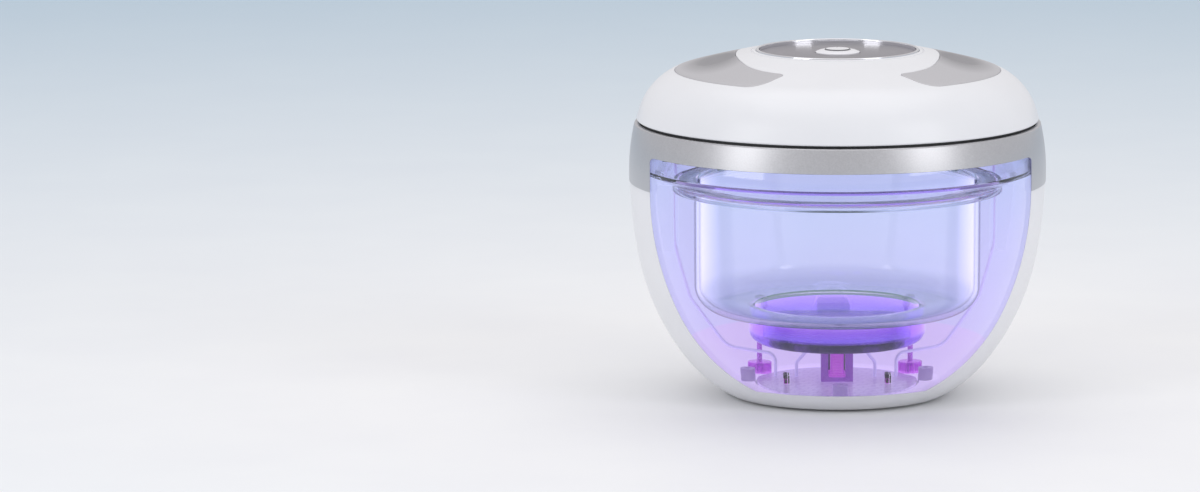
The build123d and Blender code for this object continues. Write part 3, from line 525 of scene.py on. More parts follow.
def lit(name, low, high, share, under="#6B6A8C"):
    """Inner wall of the bay with the lamps on: a painted lilac glow that turns bluer with height, and
    drops to its low colour under one height."""
    made, tree, shader = finish(name, under, Roughness=0.35, IOR=1.5, Emission_Strength=share)
    height = add(tree, "SeparateXYZ", {0: placed(tree)}).outputs["Z"]
    slow = between(tree, grain(tree, 30.0, 1.0), -0.04, 0.04)
    climb = between(tree, height, 0.42, 0.96, (0.018, 0.075))
    above = between(tree, height, -0.42, 0.0, (glow_step_z, glow_step_z + glow_step_soft))
    level = add(tree, "Math", {0: climb, 1: slow}, operation="ADD").outputs[0]
    level = add(tree, "Math", {0: level, 1: above}, operation="ADD", use_clamp=True).outputs[0]
    tree.links.new(blended(tree, level, low, high), shader.inputs["Emission Color"])
    bumped(tree, shader, grain(tree, 0.8, 2.0), 0.004)
    return made


def face_inwards(piece, material, reach):
    """Gives a material, the painted lamp glow, to the faces inside a radius rule that the lamps reach.
    """
    data = piece.data
    data.materials.append(material)
    for face in data.polygons:
        middle = face.center / MM
        r = hypot(middle.x, middle.y)
        inward = -(face.normal.x * middle.x + face.normal.y * middle.y) / r
        depth = reach(middle.z) - r
        seen = max(inward, face.normal.z) > 0.25 or (depth > 0.3 and middle.z > ledge_high)
        behind = middle.y > inlet_y - inlet_wall + 0.1
        in_recess = behind and hypot(middle.x, middle.z - inlet_z) < inlet_recess + 0.1
        if depth > -0.05 and seen and not in_recess:
            face.material_index = 1


# Glossy ABS: white with soft, broad highlights and faint flow mottling.
white_abs = moulded("glossy_white_abs", "#E4E5E9", "#E1E2E6", rough=(0.3, 0.36), IOR=1.54)[0]
# The lining has a painted glow, lilac low down and bluer with height, and the screw bosses a darker
# painted violet glow.
lit_wall = lit("lamp_lit_inner_wall", "#DDC6F6", "#C3D2F4", 0.84)
body_shell = mesh_piece("casing_shell", shell_mesh(), white_abs)
joined(body_shell, shell_additions(), "UNION")
joined(body_shell, shell_cuts(), "DIFFERENCE")
true_normals(body_shell, 0.0, shell_wall)
# The bay's inner faces take the painted glow, and the screw bosses the darker one.
face_inwards(body_shell, lit_wall, at(shell_wall))
lit_boss = lit("lamp_lit_screw_bosses", "#A98AD8", "#A98AD8", 0.55, under="#4A4560")
body_shell.data.materials.append(lit_boss)
for face in body_shell.data.polygons:
    x, y, z = face.center / MM
    from_boss = min(hypot(x - boss_x, y - boss_y) for boss_x, boss_y in boss_places)
    if from_boss < boss_r + 0.1 and ledge_high + 0.1 < z < boss_top + 0.1:
        face.material_index = 2
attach(body_shell, "base")
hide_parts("body_shell")

# Collar band
# A satin silver painted ring that joins the casing to the deck, 0.3 mm proud of the casing. Its
# front is cut by the top of the window, and a spigot goes down inside the casing.

band_low, band_high, band_proud, band_edge = 68.2, 86.5, 0.3, 0.4
band_bore, band_lip_bore, band_lip_z = 61.2, 62.2, 82.0
spigot_low, spigot_inset = 63.2, 2.5


def band_mesh():
    """The band: sides beside the window, whole rings over it, and the spigot round the back."""
    made = bmesh.new()
    outer, inner = window_edge(0.0), window_edge(rebate)
    outer_side, inner_side = (side_edge(edge, band_low, 2 * window_high) for edge in (outer, inner))
    strip(made, [back_row(made, x, casing_r(z, -band_proud), z) for x, z in outer_side])
    strip(made, [back_row(made, x, band_bore, z) for x, z in inner_side])
    outer_x, inner_x = outer_side[0][0], inner_side[0][0]
    under = [
        (outer_x, casing_r(band_low, -band_proud), band_low),
        (outer_x, casing_r(band_low, spigot_inset), band_low),
        (outer_x, casing_r(spigot_low, spigot_inset), spigot_low),
        (inner_x, band_bore, spigot_low),
        (inner_x, band_bore, band_low),
    ]
    strip(made, [back_row(made, *spot) for spot in under])
    path = casing_line(outer_side[-1][1], band_high - band_edge, -band_proud)
    round_r = casing_r(band_high, -band_proud) - band_edge
    path += arc(round_r, band_high - band_edge, band_edge, 0.0, pi / 2, 4)[1:]
    path += [(band_lip_bore, band_high), (band_lip_bore, band_lip_z), (band_bore, band_lip_z)]
    path.append((band_bore, inner_side[-1][1]))
    eased_rings(made, path, outer_side[-1][0], inner_side[-1][0])
    half = front_columns // 2
    run, tread = outer_side + outer[-half:], inner_side + inner[-half:]
    bore = (tread, lambda z: band_bore)
    edge_strips(made, [(run, at(-band_proud)), (run, at(skin)), (tread, at(skin)), bore])
    return sealed(made)


# Satin paint with a fine flake: a soft metal sheen that darkens towards the sides. The flake is
# drawn coarser than it is, so that it shows.
silver, tree, shader = finish(
    "satin_silver_paint",
    "#BDBDC1",
    Metallic=0.72,
    Roughness=0.36,
    Coat_Weight=0.25,
    Coat_Roughness=0.3,
)
flake_mm, full = 0.32, (0.0, 1.0)
cells = add(tree, "TexVoronoi", {"Vector": placed(tree), "Scale": 1 / (flake_mm * MM)})
flake = add(tree, "SeparateColor", {"Color": cells.outputs["Color"]}).outputs["Red"]
flake_share = between(tree, flake, 0.0, 1.0, full)
tree.links.new(blended(tree, flake_share, "#B9B9BD", "#C2C2C6"), shader.inputs["Base Color"])
tree.links.new(between(tree, flake, 0.31, 0.4, full), shader.inputs["Roughness"])
bumped(tree, shader, grain(tree, 0.3, 2.0), 0.003)
collar_band = mesh_piece("silver_band", band_mesh(), silver)
true_normals(collar_band, -band_proud)
# The band's bore takes the painted lamp glow.
face_inwards(collar_band, lit_wall, lambda z: band_bore if z < band_lip_z else 0.0)
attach(collar_band, "base")
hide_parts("collar_band")

# Front window
# A clear moulded panel with a faint lilac tint, curved with the casing. Its tongue sits in the
# step behind the casing's skin and holds it flush.

panel_gap = 0.1


def panel_mesh():
    """The curved panel: outer sheet, inner sheet, and the stepped edge between them."""
    made = bmesh.new()
    half = front_columns // 2
    outer, inner = window_edge(-panel_gap), window_edge(rebate - panel_gap)
    for points, inset in ((outer, 0.0), (inner, shell_wall)):
        sides = points[half : len(points) - half]
        strip(made, [front_row(made, x, casing_r(z, inset), z) for x, z in sides])
    under = skin + panel_gap
    tread = [(inner, at(under)), (inner, at(shell_wall))]
    edge_strips(made, [(outer, at(0)), (outer, at(under)), *tread])
    return sealed(made)


def clear(name, code, index=1.49, ripple_mm=9.0, through="#FFFFFF", **values):
    """Polished clear plastic. Lamps reach what is behind it, and its surface has the slight
    ripple that moulding leaves."""
    made, tree, shader = finish(
        name, code, Roughness=0.02, IOR=index, Transmission_Weight=1.0, **values
    )
    bumped(tree, shader, grain(tree, ripple_mm, 1.0), 0.002)
    shadow = add(tree, "LightPath").outputs["Is Shadow Ray"]
    open_way = add(tree, "BsdfTransparent", {"Color": colour(through)}).outputs[0]
    mix = add(tree, "MixShader", {0: shadow, 1: shader.outputs[0], 2: open_way})
    tree.links.new(mix.outputs[0], tree.nodes["Material Output"].inputs["Surface"])
    return made, tree, shader


# Polished polycarbonate: hardly seen, with thin bright edges and a trace of lilac.
window_clear = clear("clear_lilac_polycarbonate", "#F6F5FD", through="#F8F7FE")[0]
window_panel = mesh_piece("front_window", panel_mesh(), window_clear)
true_normals(window_panel, 0.0, shell_wall)
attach(window_panel, "base")
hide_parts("window_panel")

# Base plate, feet and screws
# A white moulded floor plate, held by four screws that go up into the casing's bosses, with four
# soft grey rubber feet glued in shallow seats. All of it is under the cleaner.


def dress(material, *names):
    """Gives CAD nodes a material."""
    for name in names:
        for place in nodes[name].material_slots:
            place.material = material


def group_tree(name, *inputs):
    """An empty geometry tree with geometry in and out and more named inputs. Returns the tree, its
    input node and its output node."""
    tree = bpy.data.node_groups.new(name, "GeometryNodeTree")
    tree.interface.new_socket("Geometry", in_out="INPUT", socket_type="NodeSocketGeometry")
    for label, kind in inputs:
        tree.interface.new_socket(label, in_out="INPUT", socket_type="NodeSocket" + kind)
    tree.interface.new_socket("Geometry", in_out="OUTPUT", socket_type="NodeSocketGeometry")
    return tree, tree.nodes.new("NodeGroupInput"), tree.nodes.new("NodeGroupOutput")


def grown(name, tree, values, start):
    """Runs a geometry tree on a mesh with named values, and keeps the result as a plain mesh."""
    seed = shown(name + "_seed", start)
    change = seed.modifiers.new("made", "NODES")
    change.node_group = tree
    for item in tree.interface.items_tree:
        if item.item_type == "SOCKET" and item.in_out == "INPUT" and item.name in values:
            change[item.identifier] = values[item.name]
    ready = seed.evaluated_get(bpy.context.evaluated_depsgraph_get())
    data = bpy.data.meshes.new_from_object(ready)
    data.name = name
    bpy.data.objects.remove(seed)
    smoothed(data)
    return shown(name, data)


def ring_tree():
    """Copies of one item on a circle, each turned with its place."""
    tree, given, out = group_tree(
        "items_on_a_circle",
        ("Count", "Int"),
        ("Circle radius", "Float"),
        ("First angle", "Float"),
        ("Height", "Float"),
        ("Material", "Material"),
    )
    circle = add(
        tree,
        "GeometryNodeMeshCircle",
        {"Vertices": given.outputs["Count"], "Radius": given.outputs["Circle radius"]},
    )
    turned = add(tree, "CombineXYZ", {"Z": given.outputs["First angle"]})
    raised = add(tree, "CombineXYZ", {"Z": given.outputs["Height"]})
    place = add(
        tree,
        "GeometryNodeTransform",
        {"Geometry": circle.outputs[0], "Translation": raised.outputs[0], "Rotation": turned.outputs[0]},
    )
    index = add(tree, "GeometryNodeInputIndex")
    parts = {0: index.outputs[0], 1: given.outputs["Count"]}
    share = add(tree, "Math", parts, operation="DIVIDE")
    angle = add(
        tree,
        "Math",
        {0: share.outputs[0], 1: 2 * pi, 2: given.outputs["First angle"]},
        operation="MULTIPLY_ADD",
    )
    facing = add(tree, "CombineXYZ", {"Z": angle.outputs[0]})
    copies = add(
        tree,
        "GeometryNodeInstanceOnPoints",
        {
            "Points": place.outputs[0],
            "Instance": given.outputs["Geometry"],
            "Rotation": facing.outputs[0],
        },
    )
    real = add(tree, "GeometryNodeRealizeInstances", {"Geometry": copies.outputs[0]})
    painted = add(
        tree,
        "GeometryNodeSetMaterial",
        {"Geometry": real.outputs[0], "Material": given.outputs["Material"]},
    )
    tree.links.new(painted.outputs[0], out.inputs[0])
    return tree


def eased(corners, steps=4):
    """A line through corners, each given as r, z and the radius of its round."""
    line = []
    for i, (*spot, ease) in enumerate(corners):
        here = Vector(spot)
        before = Vector(corners[i - 1][:2]) - here
        after = Vector(corners[(i + 1) % len(corners)][:2]) - here
        if ease <= 0 or i in (0, len(corners) - 1):
            line.append(tuple(spot))
            continue
        half = before.angle(after) / 2
        reach, along = ease / sin(half), ease / sin(half) * cos(half)
        middle = here + (before.normalized() + after.normalized()).normalized() * reach
        first = here + before.normalized() * along - middle
        turn = first.angle_signed(here + after.normalized() * along - middle)
        for k in range(steps + 1):
            angle = -turn * k / steps
            x = middle.x + first.x * cos(angle) - first.y * sin(angle)
            z = middle.y + first.x * sin(angle) + first.y * cos(angle)
            line.append((x, z))
    return line


def lathe(made, line, columns, closed=False):
    """Turns a line of r and z, in millimetres, about the upright axis."""
    rows = [circle_row(made, r, z, columns) for r, z in line]
    if closed:
        rows.append(rows[0])
    strip(made, rows, closed=True)


def turned_piece(name, line, material, columns, smooth=35):
    """An object turned from a line, with both its ends on the axis or one closed loop."""
    made = bmesh.new()
    lathe(made, line, columns, closed=line[0][0] > 1e-6)
    return mesh_piece(name, sealed(made, 0.002), material, smooth)


ring_of_items = ring_tree()
foot_circle, foot_r, foot_high, foot_columns = 21.5, 4.5, 1.2, 48

# Fine textured ABS: a quiet white without sharp reflections.
inner_white = moulded(
    "fine_textured_white_abs", "#DEDEE3", "#DADAE0", grain_mm=0.6, depth=0.01, rough=(0.42, 0.52)
)[0]
dress(inner_white, "base_plate")

# Soft rubber: dull and dark, with hardly a highlight.
rubber = moulded(
    "soft_grey_rubber", "#5C5C60", "#535357", grain_mm=0.5, depth=0.02, rough=(0.68, 0.82)
)[0]
foot_line = [(0, 0, 0), (foot_r, 0, 0.4), (foot_r, foot_high, 0.1), (0, foot_high, 0)]
foot = bmesh.new()
lathe(foot, eased(foot_line), foot_columns)
foot_mesh = bpy.data.meshes.new("foot")
sealed(foot).to_mesh(foot_mesh)
foot.free()
ring_values = {
    "Count": 4,
    "Circle radius": foot_circle * MM,
    "First angle": pi / 4,
    "Height": 0.0,
    "Material": rubber,
}
feet = grown("rubber_feet", ring_of_items, ring_values, foot_mesh)
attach(feet, "base")
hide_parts("base_feet")

# Zinc plate: small bright glints that worn patches break up.
steel, tree, shader = finish("zinc_plated_steel", "#B9BABD", Metallic=1.0, Roughness=0.3)
varied(tree, shader, grain(tree, 0.5, 4.0), (0.22, 0.42), ("#A9ABB0", "#C4C4C2"))
dress(steel, "base_screws", "lid_screws")

# Driver board and its parts
# A white solder-masked board on the base plate. The step-up transformer for the transducer stands
# in its middle, a transistor at each side in front, and a filter capacitor behind.

board_z, wire_pitch = 3.4, 0.5

# Solder mask: a painted pale lilac glow for the lamps' light, with faint tracks in it.
mask_white, tree, shader = finish(
    "white_solder_mask",
    "#DAD6EA",
    Roughness=0.16,
    IOR=1.5,
    Emission_Color="#CDA9F0",
    Emission_Strength=0.3,
)
tracks = add(
    tree,
    "TexBrick",
    {
        "Vector": placed(tree, turn=(0, 0, 0.35)),
        "Scale": 1 / (9.0 * MM),
        "Mortar Size": 0.035,
        "Mortar Smooth": 0.3,
        "Color1": colour("#DAD6EA"),
        "Color2": colour("#D6D1E8"),
        "Mortar": colour("#C2BAD9"),
    },
)
tree.links.new(tracks.outputs["Color"], shader.inputs["Base Color"])
bumped(tree, shader, tracks.outputs["Fac"], 0.03)
dress(mask_white, "driver_board", "lamp_board", "switch_board")

# Ferrite: a violet colour and glow painted in for the lamps' light, with fine pores that break up the
# light.
ferrite, tree, shader = finish(
    "violet_lit_ferrite",
    "#7A4FA0",
    Roughness=0.5,
    Emission_Color="#9A4FC8",
    Emission_Strength=0.35,
)
pores = grain(tree, 0.35, 4.0)
varied(tree, shader, pores, (0.38, 0.6), ("#6C4593", "#8A5DB0"))
bumped(tree, shader, pores, 0.03)
dress(ferrite, "transformer_core")

# Taped winding: a magenta colour and glow painted in for the lamps' light, with the wire's turns as fine
# ridges.
tape, tree, shader = finish(
    "taped_winding",
    "#B04CC4",
    Roughness=0.3,
    IOR=1.5,
    Emission_Color="#D05BE6",
    Emission_Strength=0.35,
)
turns = add(
    tree,
    "TexWave",
    {"Vector": placed(tree), "Scale": pi / (10 * wire_pitch * MM), "Distortion": 0.4, "Detail": 1.0},
    bands_direction="Z",
)
tree.links.new(
    blended(tree, turns.outputs["Fac"], "#A344BC", "#C66AD6"), shader.inputs["Base Color"]
)
bumped(tree, shader, turns.outputs["Fac"], 0.08)
dress(tape, "transformer_coil")

# Moulded epoxy: near black, with a dull grain.
black_epoxy = moulded(
    "black_moulded_epoxy", "#26262A", "#2E2E33", grain_mm=0.4, depth=0.012, rough=(0.42, 0.55)
)[0]
dress(black_epoxy, "tact_switch")

# Shrink sleeve: a smooth dark blue with soft highlights.
sleeve = moulded("shrink_sleeve", "#3A3A55", "#43435F", rough=(0.25, 0.32))[0]
dress(sleeve, "filter_capacitor")

transistor_x, transistor_y = 16.0, -4.0
case_wide, case_long, case_high, case_round = 2.0, 5.0, 3.6, 0.18
tab_wide, tab_short, tab_drop, tab_round = 0.75, 0.2, 0.15, 0.12
lug_high, lug_narrow, lug_short, lug_round = 1.7, 0.1, 0.15, 0.1


def block(made, low, high, ease, index):
    """A box with eased edges between two corners, in millimetres."""
    found = bmesh.ops.create_cube(made, size=1.0)["verts"]
    middle = (Vector(low) + Vector(high)) / 2
    size = Vector(high) - Vector(low)
    for vert in found:
        vert.co = Vector((middle[i] + vert.co[i] * size[i] for i in range(3))) * MM
    edges = list({edge for vert in found for edge in vert.link_edges})
    faces = {face for vert in found for face in vert.link_faces}
    done = bmesh.ops.bevel(made, geom=edges, offset=ease * MM, segments=3, affect="EDGES")
    for face in faces | set(done["faces"]):
        if face.is_valid:
            face.material_index = index


def transistor_mesh():
    """Two upright transistors: a dark case on a lit lug, beside a bright tab."""
    made = bmesh.new()
    low_y, high_y = transistor_y - case_long / 2, transistor_y + case_long / 2
    top, lug_top = board_z + case_high, board_z + lug_high
    for middle in (-transistor_x, transistor_x):
        left, right = middle - case_wide / 2, middle + case_wide / 2
        split = right - tab_wide
        block(made, (left, low_y, lug_top), (split, high_y, top), case_round, 0)
        tab = (split, low_y + tab_short, board_z), (right, high_y - tab_short, top - tab_drop)
        block(made, *tab, tab_round, 1)
        lug = (left + lug_narrow, low_y + lug_short, board_z), (split, high_y - lug_short, lug_top)
        block(made, *lug, lug_round, 2)
    made.normal_update()
    return made


# Tinned metal: a painted near-white glow makes it bright, as if it caught the lamps.
tin, tree, shader = finish(
    "bright_tinned_tab",
    "#DCD8E6",
    Metallic=0.6,
    Roughness=0.3,
    Emission_Color="#EFE8FA",
    Emission_Strength=0.6,
)
varied(tree, shader, grain(tree, 0.6), (0.22, 0.36))
# The plastic under each case has a strong magenta colour and glow painted in for the lamps' light.
lug_lit = moulded(
    "magenta_lit_foot", "#C443D0", "#D25BDE", Emission_Color="#D032DC", Emission_Strength=0.5
)[0]
transistors = mesh_piece("upright_transistors", transistor_mesh(), black_epoxy, 30)
transistors.data.materials.append(tin)
transistors.data.materials.append(lug_lit)
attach(transistors, "base")
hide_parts("power_transistors")

# Tank
# The bath: one clear moulding with a rim that hangs it in the deck, a round bottom corner and a
# stepped cup. Its walls are polished, and thin dark lines are painted along their edges.

tank_r, tank_bore, tank_low, tank_high, tank_corner = 45.0, 43.5, 27.0, 68.4, 8.0
rim_r, rim_thick = 50.0, 1.2
cup_r, cup_bore, cup_low, cup_corner = 27.7, 26.2, 17.0, 3.5
plate_seat_z, cup_lip_r = 20.0, 23.8
tank_wall = tank_r - tank_bore
tank_line = eased(
    [
        (cup_lip_r, cup_low, 0.2),
        (cup_r, cup_low, cup_corner),
        (cup_r, tank_low, 0.4),
        (tank_r, tank_low, tank_corner),
        (tank_r, tank_high - rim_thick, 0.5),
        (rim_r, tank_high - rim_thick, 0.3),
        (rim_r, tank_high, 0.3),
        (tank_bore, tank_high, 1.1),
        (tank_bore, tank_low + tank_wall, tank_corner - tank_wall),
        (cup_bore, tank_low + tank_wall, 0.6),
        (cup_bore, plate_seat_z, 0.1),
        (cup_lip_r, plate_seat_z, 0.2),
    ],
    10,
)

# Polished plastic: clear from the front, with a painted glow on the upright walls, thin painted dark
# lines at the edges, and a tint that is darker towards the bottom.
tank_clear, tree, shader = clear(
    "clear_polished_tank_plastic",
    "#F4F1FE",
    index=1.45,
    ripple_mm=14.0,
    through="#F4F0FE",
    Emission_Strength=0.42,
)
facing = add(tree, "LayerWeight", {"Blend": 0.5}).outputs["Facing"]
upright = add(tree, "SeparateXYZ", {0: add(tree, "TexCoord").outputs["Normal"]}).outputs["Z"]
level = add(tree, "Math", {0: upright}, operation="ABSOLUTE").outputs[0]
wall_share = between(tree, level, 1.0, 0.0, (0.1, 0.5))
height = add(tree, "SeparateXYZ", {0: placed(tree)}).outputs["Z"]
painted_edge_shade = between(tree, facing, 0.0, 1.0, (0.8, 0.86))
glow = between(tree, facing, 0.0, 1.0, (0.46, 0.74))
glow = add(tree, "Math", {0: glow, 1: wall_share}, operation="MULTIPLY").outputs[0]
bottom_darkening = between(tree, height, 0.0, 1.0, (tank_low * MM, (tank_low + tank_corner) * MM))
plastic = blended(tree, bottom_darkening, "#BDB9D8", "#FEFDFF")
tree.links.new(blended(tree, painted_edge_shade, plastic, "#1E1840"), shader.inputs["Base Color"])
white_glow = blended(tree, glow, "#28443A", "#C9C0E0")
tree.links.new(blended(tree, painted_edge_shade, white_glow, "#000000"), shader.inputs["Emission Color"])

# The cup's wall has a painted glow in bands: dark at its foot, deep violet, then a pale pink under the
# floor; towards its sides the glow turns paler.
cup_violet, tree, shader = clear(
    "violet_lit_cup",
    "#A870F2",
    index=1.3,
    ripple_mm=14.0,
    through="#D9B8FA",
    Emission_Strength=0.5,
)
height = add(tree, "SeparateXYZ", {0: placed(tree)}).outputs["Z"]
climb = between(tree, height, 0.0, 1.0, (cup_low * MM, (tank_low + 1) * MM))
shades = add(tree, "ValToRGB", {"Fac": climb})
for spot, code in ((0.3, "#0A0414"), (0.38, "#5A1AD0"), (0.62, "#8529D6"), (0.9, "#D9A0F6")):
    shades.color_ramp.elements.new(spot).color = colour(code)
shades.color_ramp.elements[0].color = colour("#0A0414")
shades.color_ramp.elements[-1].color = colour("#4A1C96")
facing = add(tree, "LayerWeight", {"Blend": 0.5}).outputs["Facing"]
side_share = between(tree, facing, 0.0, 0.8, (0.2, 0.8))
low_side = blended(tree, between(tree, height, 0.0, 1.0, (0.0195, 0.021)), "#0A0414", "#CDB6F4")
cup_glow = blended(tree, side_share, shades.outputs["Color"], low_side)
tree.links.new(cup_glow, shader.inputs["Emission Color"])
tank = turned_piece("clear_tank", tank_line, tank_clear, 160)
# The cup's outer faces and the rim's outer edge take the cup's painted violet glow.
tank.data.materials.append(cup_violet)
for face in tank.data.polygons:
    across = hypot(face.center.x, face.center.y)
    outward = (face.normal.x * face.center.x + face.normal.y * face.center.y) / across > 0.2
    cup_face = face.center.z < (tank_low - 0.3) * MM and (outward or face.normal.z < -0.5)
    face.material_index = 1 if cup_face or across > (rim_r - 0.4) * MM else 0
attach(tank, "base")
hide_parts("tank")

# Silicone: milky, soft edged and a little lilac.
silicone, tree, shader = finish(
    "translucent_silicone",
    "#D9CFF0",
    Roughness=0.45,
    Subsurface_Weight=0.3,
    Subsurface_Scale=2 * MM,
    IOR=1.41,
)
varied(tree, shader, grain(tree, 0.6), (0.38, 0.52))
dress(silicone, "tank_seal", "pillar_caps")

# Transducer
# A thin rolled steel plate closes the cup's bottom, and the dark lacquered ceramic disc bonded
# under it shakes the bath.

# Rolled steel: bright, with reflections drawn out along the rolling.
rolled_steel, tree, shader = finish("bright_rolled_steel", "#C3C3CC", Metallic=1.0, Roughness=0.22)
rolled = grain(tree, 1.0, 2.0, placed(tree, sizes=(0.08, 1.0, 1.0)))
varied(tree, shader, rolled, (0.16, 0.3))
bumped(tree, shader, rolled, 0.004)
dress(rolled_steel, "diaphragm_plate")

# Lacquered ceramic: a dark plum with an uneven glaze.
lacquer, tree, shader = finish("dark_lacquered_ceramic", "#2C2039", Roughness=0.25, IOR=1.5)
varied(tree, shader, grain(tree, 2.2, 2.0), (0.18, 0.34), ("#281C34", "#3A2B4A"))
dress(lacquer, "piezo_disc")

# Wire sleeves: pale lilac, with a soft painted glow.
lead_sleeve = moulded(
    "pale_lead_sleeve",
    "#CFC8E4",
    "#C6BEDD",
    rough=(0.35, 0.45),
    Emission_Color="#BDB0E6",
    Emission_Strength=0.5,
)[0]
dress(lead_sleeve, "piezo_leads", "inlet_leads", "contact_leads", "lid_leads")

# Deck liner
# The clear funnel between the tank's rim and the band. It is thin and polished, hangs in the band
# by its lip and carries the sprung contacts.

# A thin clear moulding: hardly seen but for its edges.
liner_clear = clear("clear_deck_plastic", "#F9F8FE", index=1.12, through="#FBFAFF")[0]
dress(liner_clear, "deck_liner")

# Pillars under the tank
# Two fluted clear knobs on the floor ledge, each with a bright steel pin and a soft cap that the
# tank's bottom rests on. The knobs are clear magenta with a faint painted glow.

knob_x, knob_y, knob_low, knob_high = 24.2, 17.2, 3.2, 6.8
knob_r, knob_bore, knob_rim, knob_ease, knob_bevel = 3.9, 0.9, 0.8, 0.25, 0.07
knob_flutes, flute_deep, flute_columns = 12, 0.45, 12


def knob_mesh():
    """Two fluted knobs: a grooved body under a plain rim, with a bore for the pin."""
    made = bmesh.new()
    columns = knob_flutes * flute_columns
    for side in (-1, 1):
        rows = []
        for z, grooved, r in (
            (knob_low, True, knob_r),
            (knob_high - knob_rim, True, knob_r),
            (knob_high - knob_rim, False, knob_r),
            (knob_high - knob_ease, False, knob_r),
            (knob_high - knob_bevel, False, knob_r - knob_bevel),
            (knob_high, False, knob_r - knob_ease),
            (knob_high, False, knob_bore),
            (knob_low, False, knob_bore),
            (knob_low, True, knob_r),
        ):
            row = []
            for i in range(columns):
                angle = 2 * pi * i / columns
                groove = flute_deep * max(0.0, cos(knob_flutes * angle)) if grooved else 0.0
                x = side * knob_x + (r - groove) * cos(angle)
                y = knob_y + (r - groove) * sin(angle)
                row.append(made.verts.new(Vector((x, y, z)) * MM))
            rows.append(row)
        strip(made, rows, closed=True)
    return sealed(made, 0.001)


# Polished steel with the knobs' magenta painted into its colour, and a painted glow.
pin_steel, tree, shader = finish(
    "magenta_lit_steel_pin",
    "#B184CC",
    Metallic=0.85,
    Roughness=0.25,
    Emission_Color="#A63CC9",
    Emission_Strength=0.3,
)
varied(tree, shader, grain(tree, 0.6), (0.18, 0.32))
dress(pin_steel, "pillar_pins")

# Clear magenta plastic with a faint painted glow, and bright lines along its flutes.
knob_clear, tree, shader = finish(
    "clear_magenta_knob",
    "#C455DA",
    Roughness=0.05,
    IOR=1.5,
    Transmission_Weight=0.8,
    Emission_Color="#B822DA",
    Emission_Strength=0.08,
)
bumped(tree, shader, grain(tree, 1.5), 0.01)
knobs = mesh_piece("fluted_knobs", knob_mesh(), knob_clear, 40)
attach(knobs, "base")
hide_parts("pillar_knobs")

# Power inlet
# A black barrel jack behind a round recess low at the back, with a nickel plated centre pin. A
# violet glow is painted on it where the lamps inside would light it.

jack_bore_y, jack_bore_r = 35.4, 3.0

# Black moulding: dull at the back, with a violet glow painted on where it stands inside the bay.
lit_black, tree, shader = moulded(
    "lamp_lit_black_moulding", "#26262A", "#2E2E33", rough=(0.42, 0.55), Emission_Strength=1.0
)
where = placed(tree)
behind = add(tree, "SeparateXYZ", {0: where}).outputs["Y"]
flat = add(tree, "VectorMath", {0: where, 1: (1.0, 0.0, 1.0)}, operation="MULTIPLY").outputs[0]
ends = {0: flat, 1: (0.0, 0.0, inlet_z * MM)}
from_axis = add(tree, "VectorMath", ends, operation="DISTANCE").outputs["Value"]


def jack_step(value, place, soft, low, high):
    """A share that goes from one value to another within a short distance of a place."""
    return between(tree, value, low, high, ((place - soft) * MM, (place + soft) * MM))


body = jack_step(behind, inlet_y - inlet_wall, 0.2, 1.0, 0.0)
bore = jack_step(behind, jack_bore_y, 0.2, 1.0, 0.0)
wide = jack_step(from_axis, jack_bore_r, 0.1, 0.0, 1.0)
outside = add(tree, "Math", {0: bore, 1: wide}, operation="MAXIMUM").outputs[0]
bay = add(tree, "Math", {0: body, 1: outside}, operation="MULTIPLY").outputs[0]
tree.links.new(blended(tree, bay, "#000000", "#8F86C0"), shader.inputs["Emission Color"])
dress(lit_black, "inlet_jack")

# Nickel plate: a warm bright mirror, a little hazed.
nickel, tree, shader = finish("bright_nickel_plate", "#D6D3CC", Metallic=1.0, Roughness=0.16)
varied(tree, shader, grain(tree, 0.5), (0.12, 0.24))
dress(nickel, "inlet_pin", "contact_pins", "contact_pads")

# Sprung contacts
# Two pale moulded blocks on the deck, each with a sprung nickel pin that meets a pad in the lid and
# feeds its lamps.

contact_circle, contact_travel = 56.6, 0.8
spring_low, spring_rise, spring_r, spring_turns = 74.8, 4.0, 1.15, 5
wire_r, wire_sides, turn_steps = 0.15, 8, 24


def springs_mesh():
    """Both coils, each one closed tube of wire."""
    made = bmesh.new()
    count = turn_steps * spring_turns
    sides = [2 * pi * k / wire_sides for k in range(wire_sides)]
    for angle in guide_angles:
        foot = Vector((contact_circle * cos(radians(angle)), contact_circle * sin(radians(angle)), 0.0))
        rows = []
        for i in range(count + 1):
            turn = 2 * pi * spring_turns * i / count
            out = Vector((cos(turn), sin(turn), 0.0))
            along = Vector((-out.y * spring_r, out.x * spring_r, spring_rise / (2 * pi * spring_turns)))
            side = along.normalized().cross(out)
            z = spring_low + wire_r + spring_rise * i / count
            middle = foot + out * spring_r + Vector((0.0, 0.0, z))
            rows.append([middle + (out * cos(a) + side * sin(a)) * wire_r for a in sides])
        bar(made, rows)
    return sealed(made, 0.001)


dress(inner_white, "contact_blocks")

# Spring wire: satin grey with fine glints.
spring_wire, tree, shader = finish("spring_steel_wire", "#A8A8AA", Metallic=1.0, Roughness=0.28)
varied(tree, shader, grain(tree, 0.2), (0.22, 0.36))
springs = mesh_piece("coiled_contact_springs", springs_mesh(), spring_wire, 60)
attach(springs, "base")
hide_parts("contact_springs")
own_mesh(springs)

# Lid shell and grips
# The domed lid is moulded in the casing's glossy white ABS. Two silver painted grips are let into
# pockets in it, flush with the dome, and a finger hollow is pressed into each.

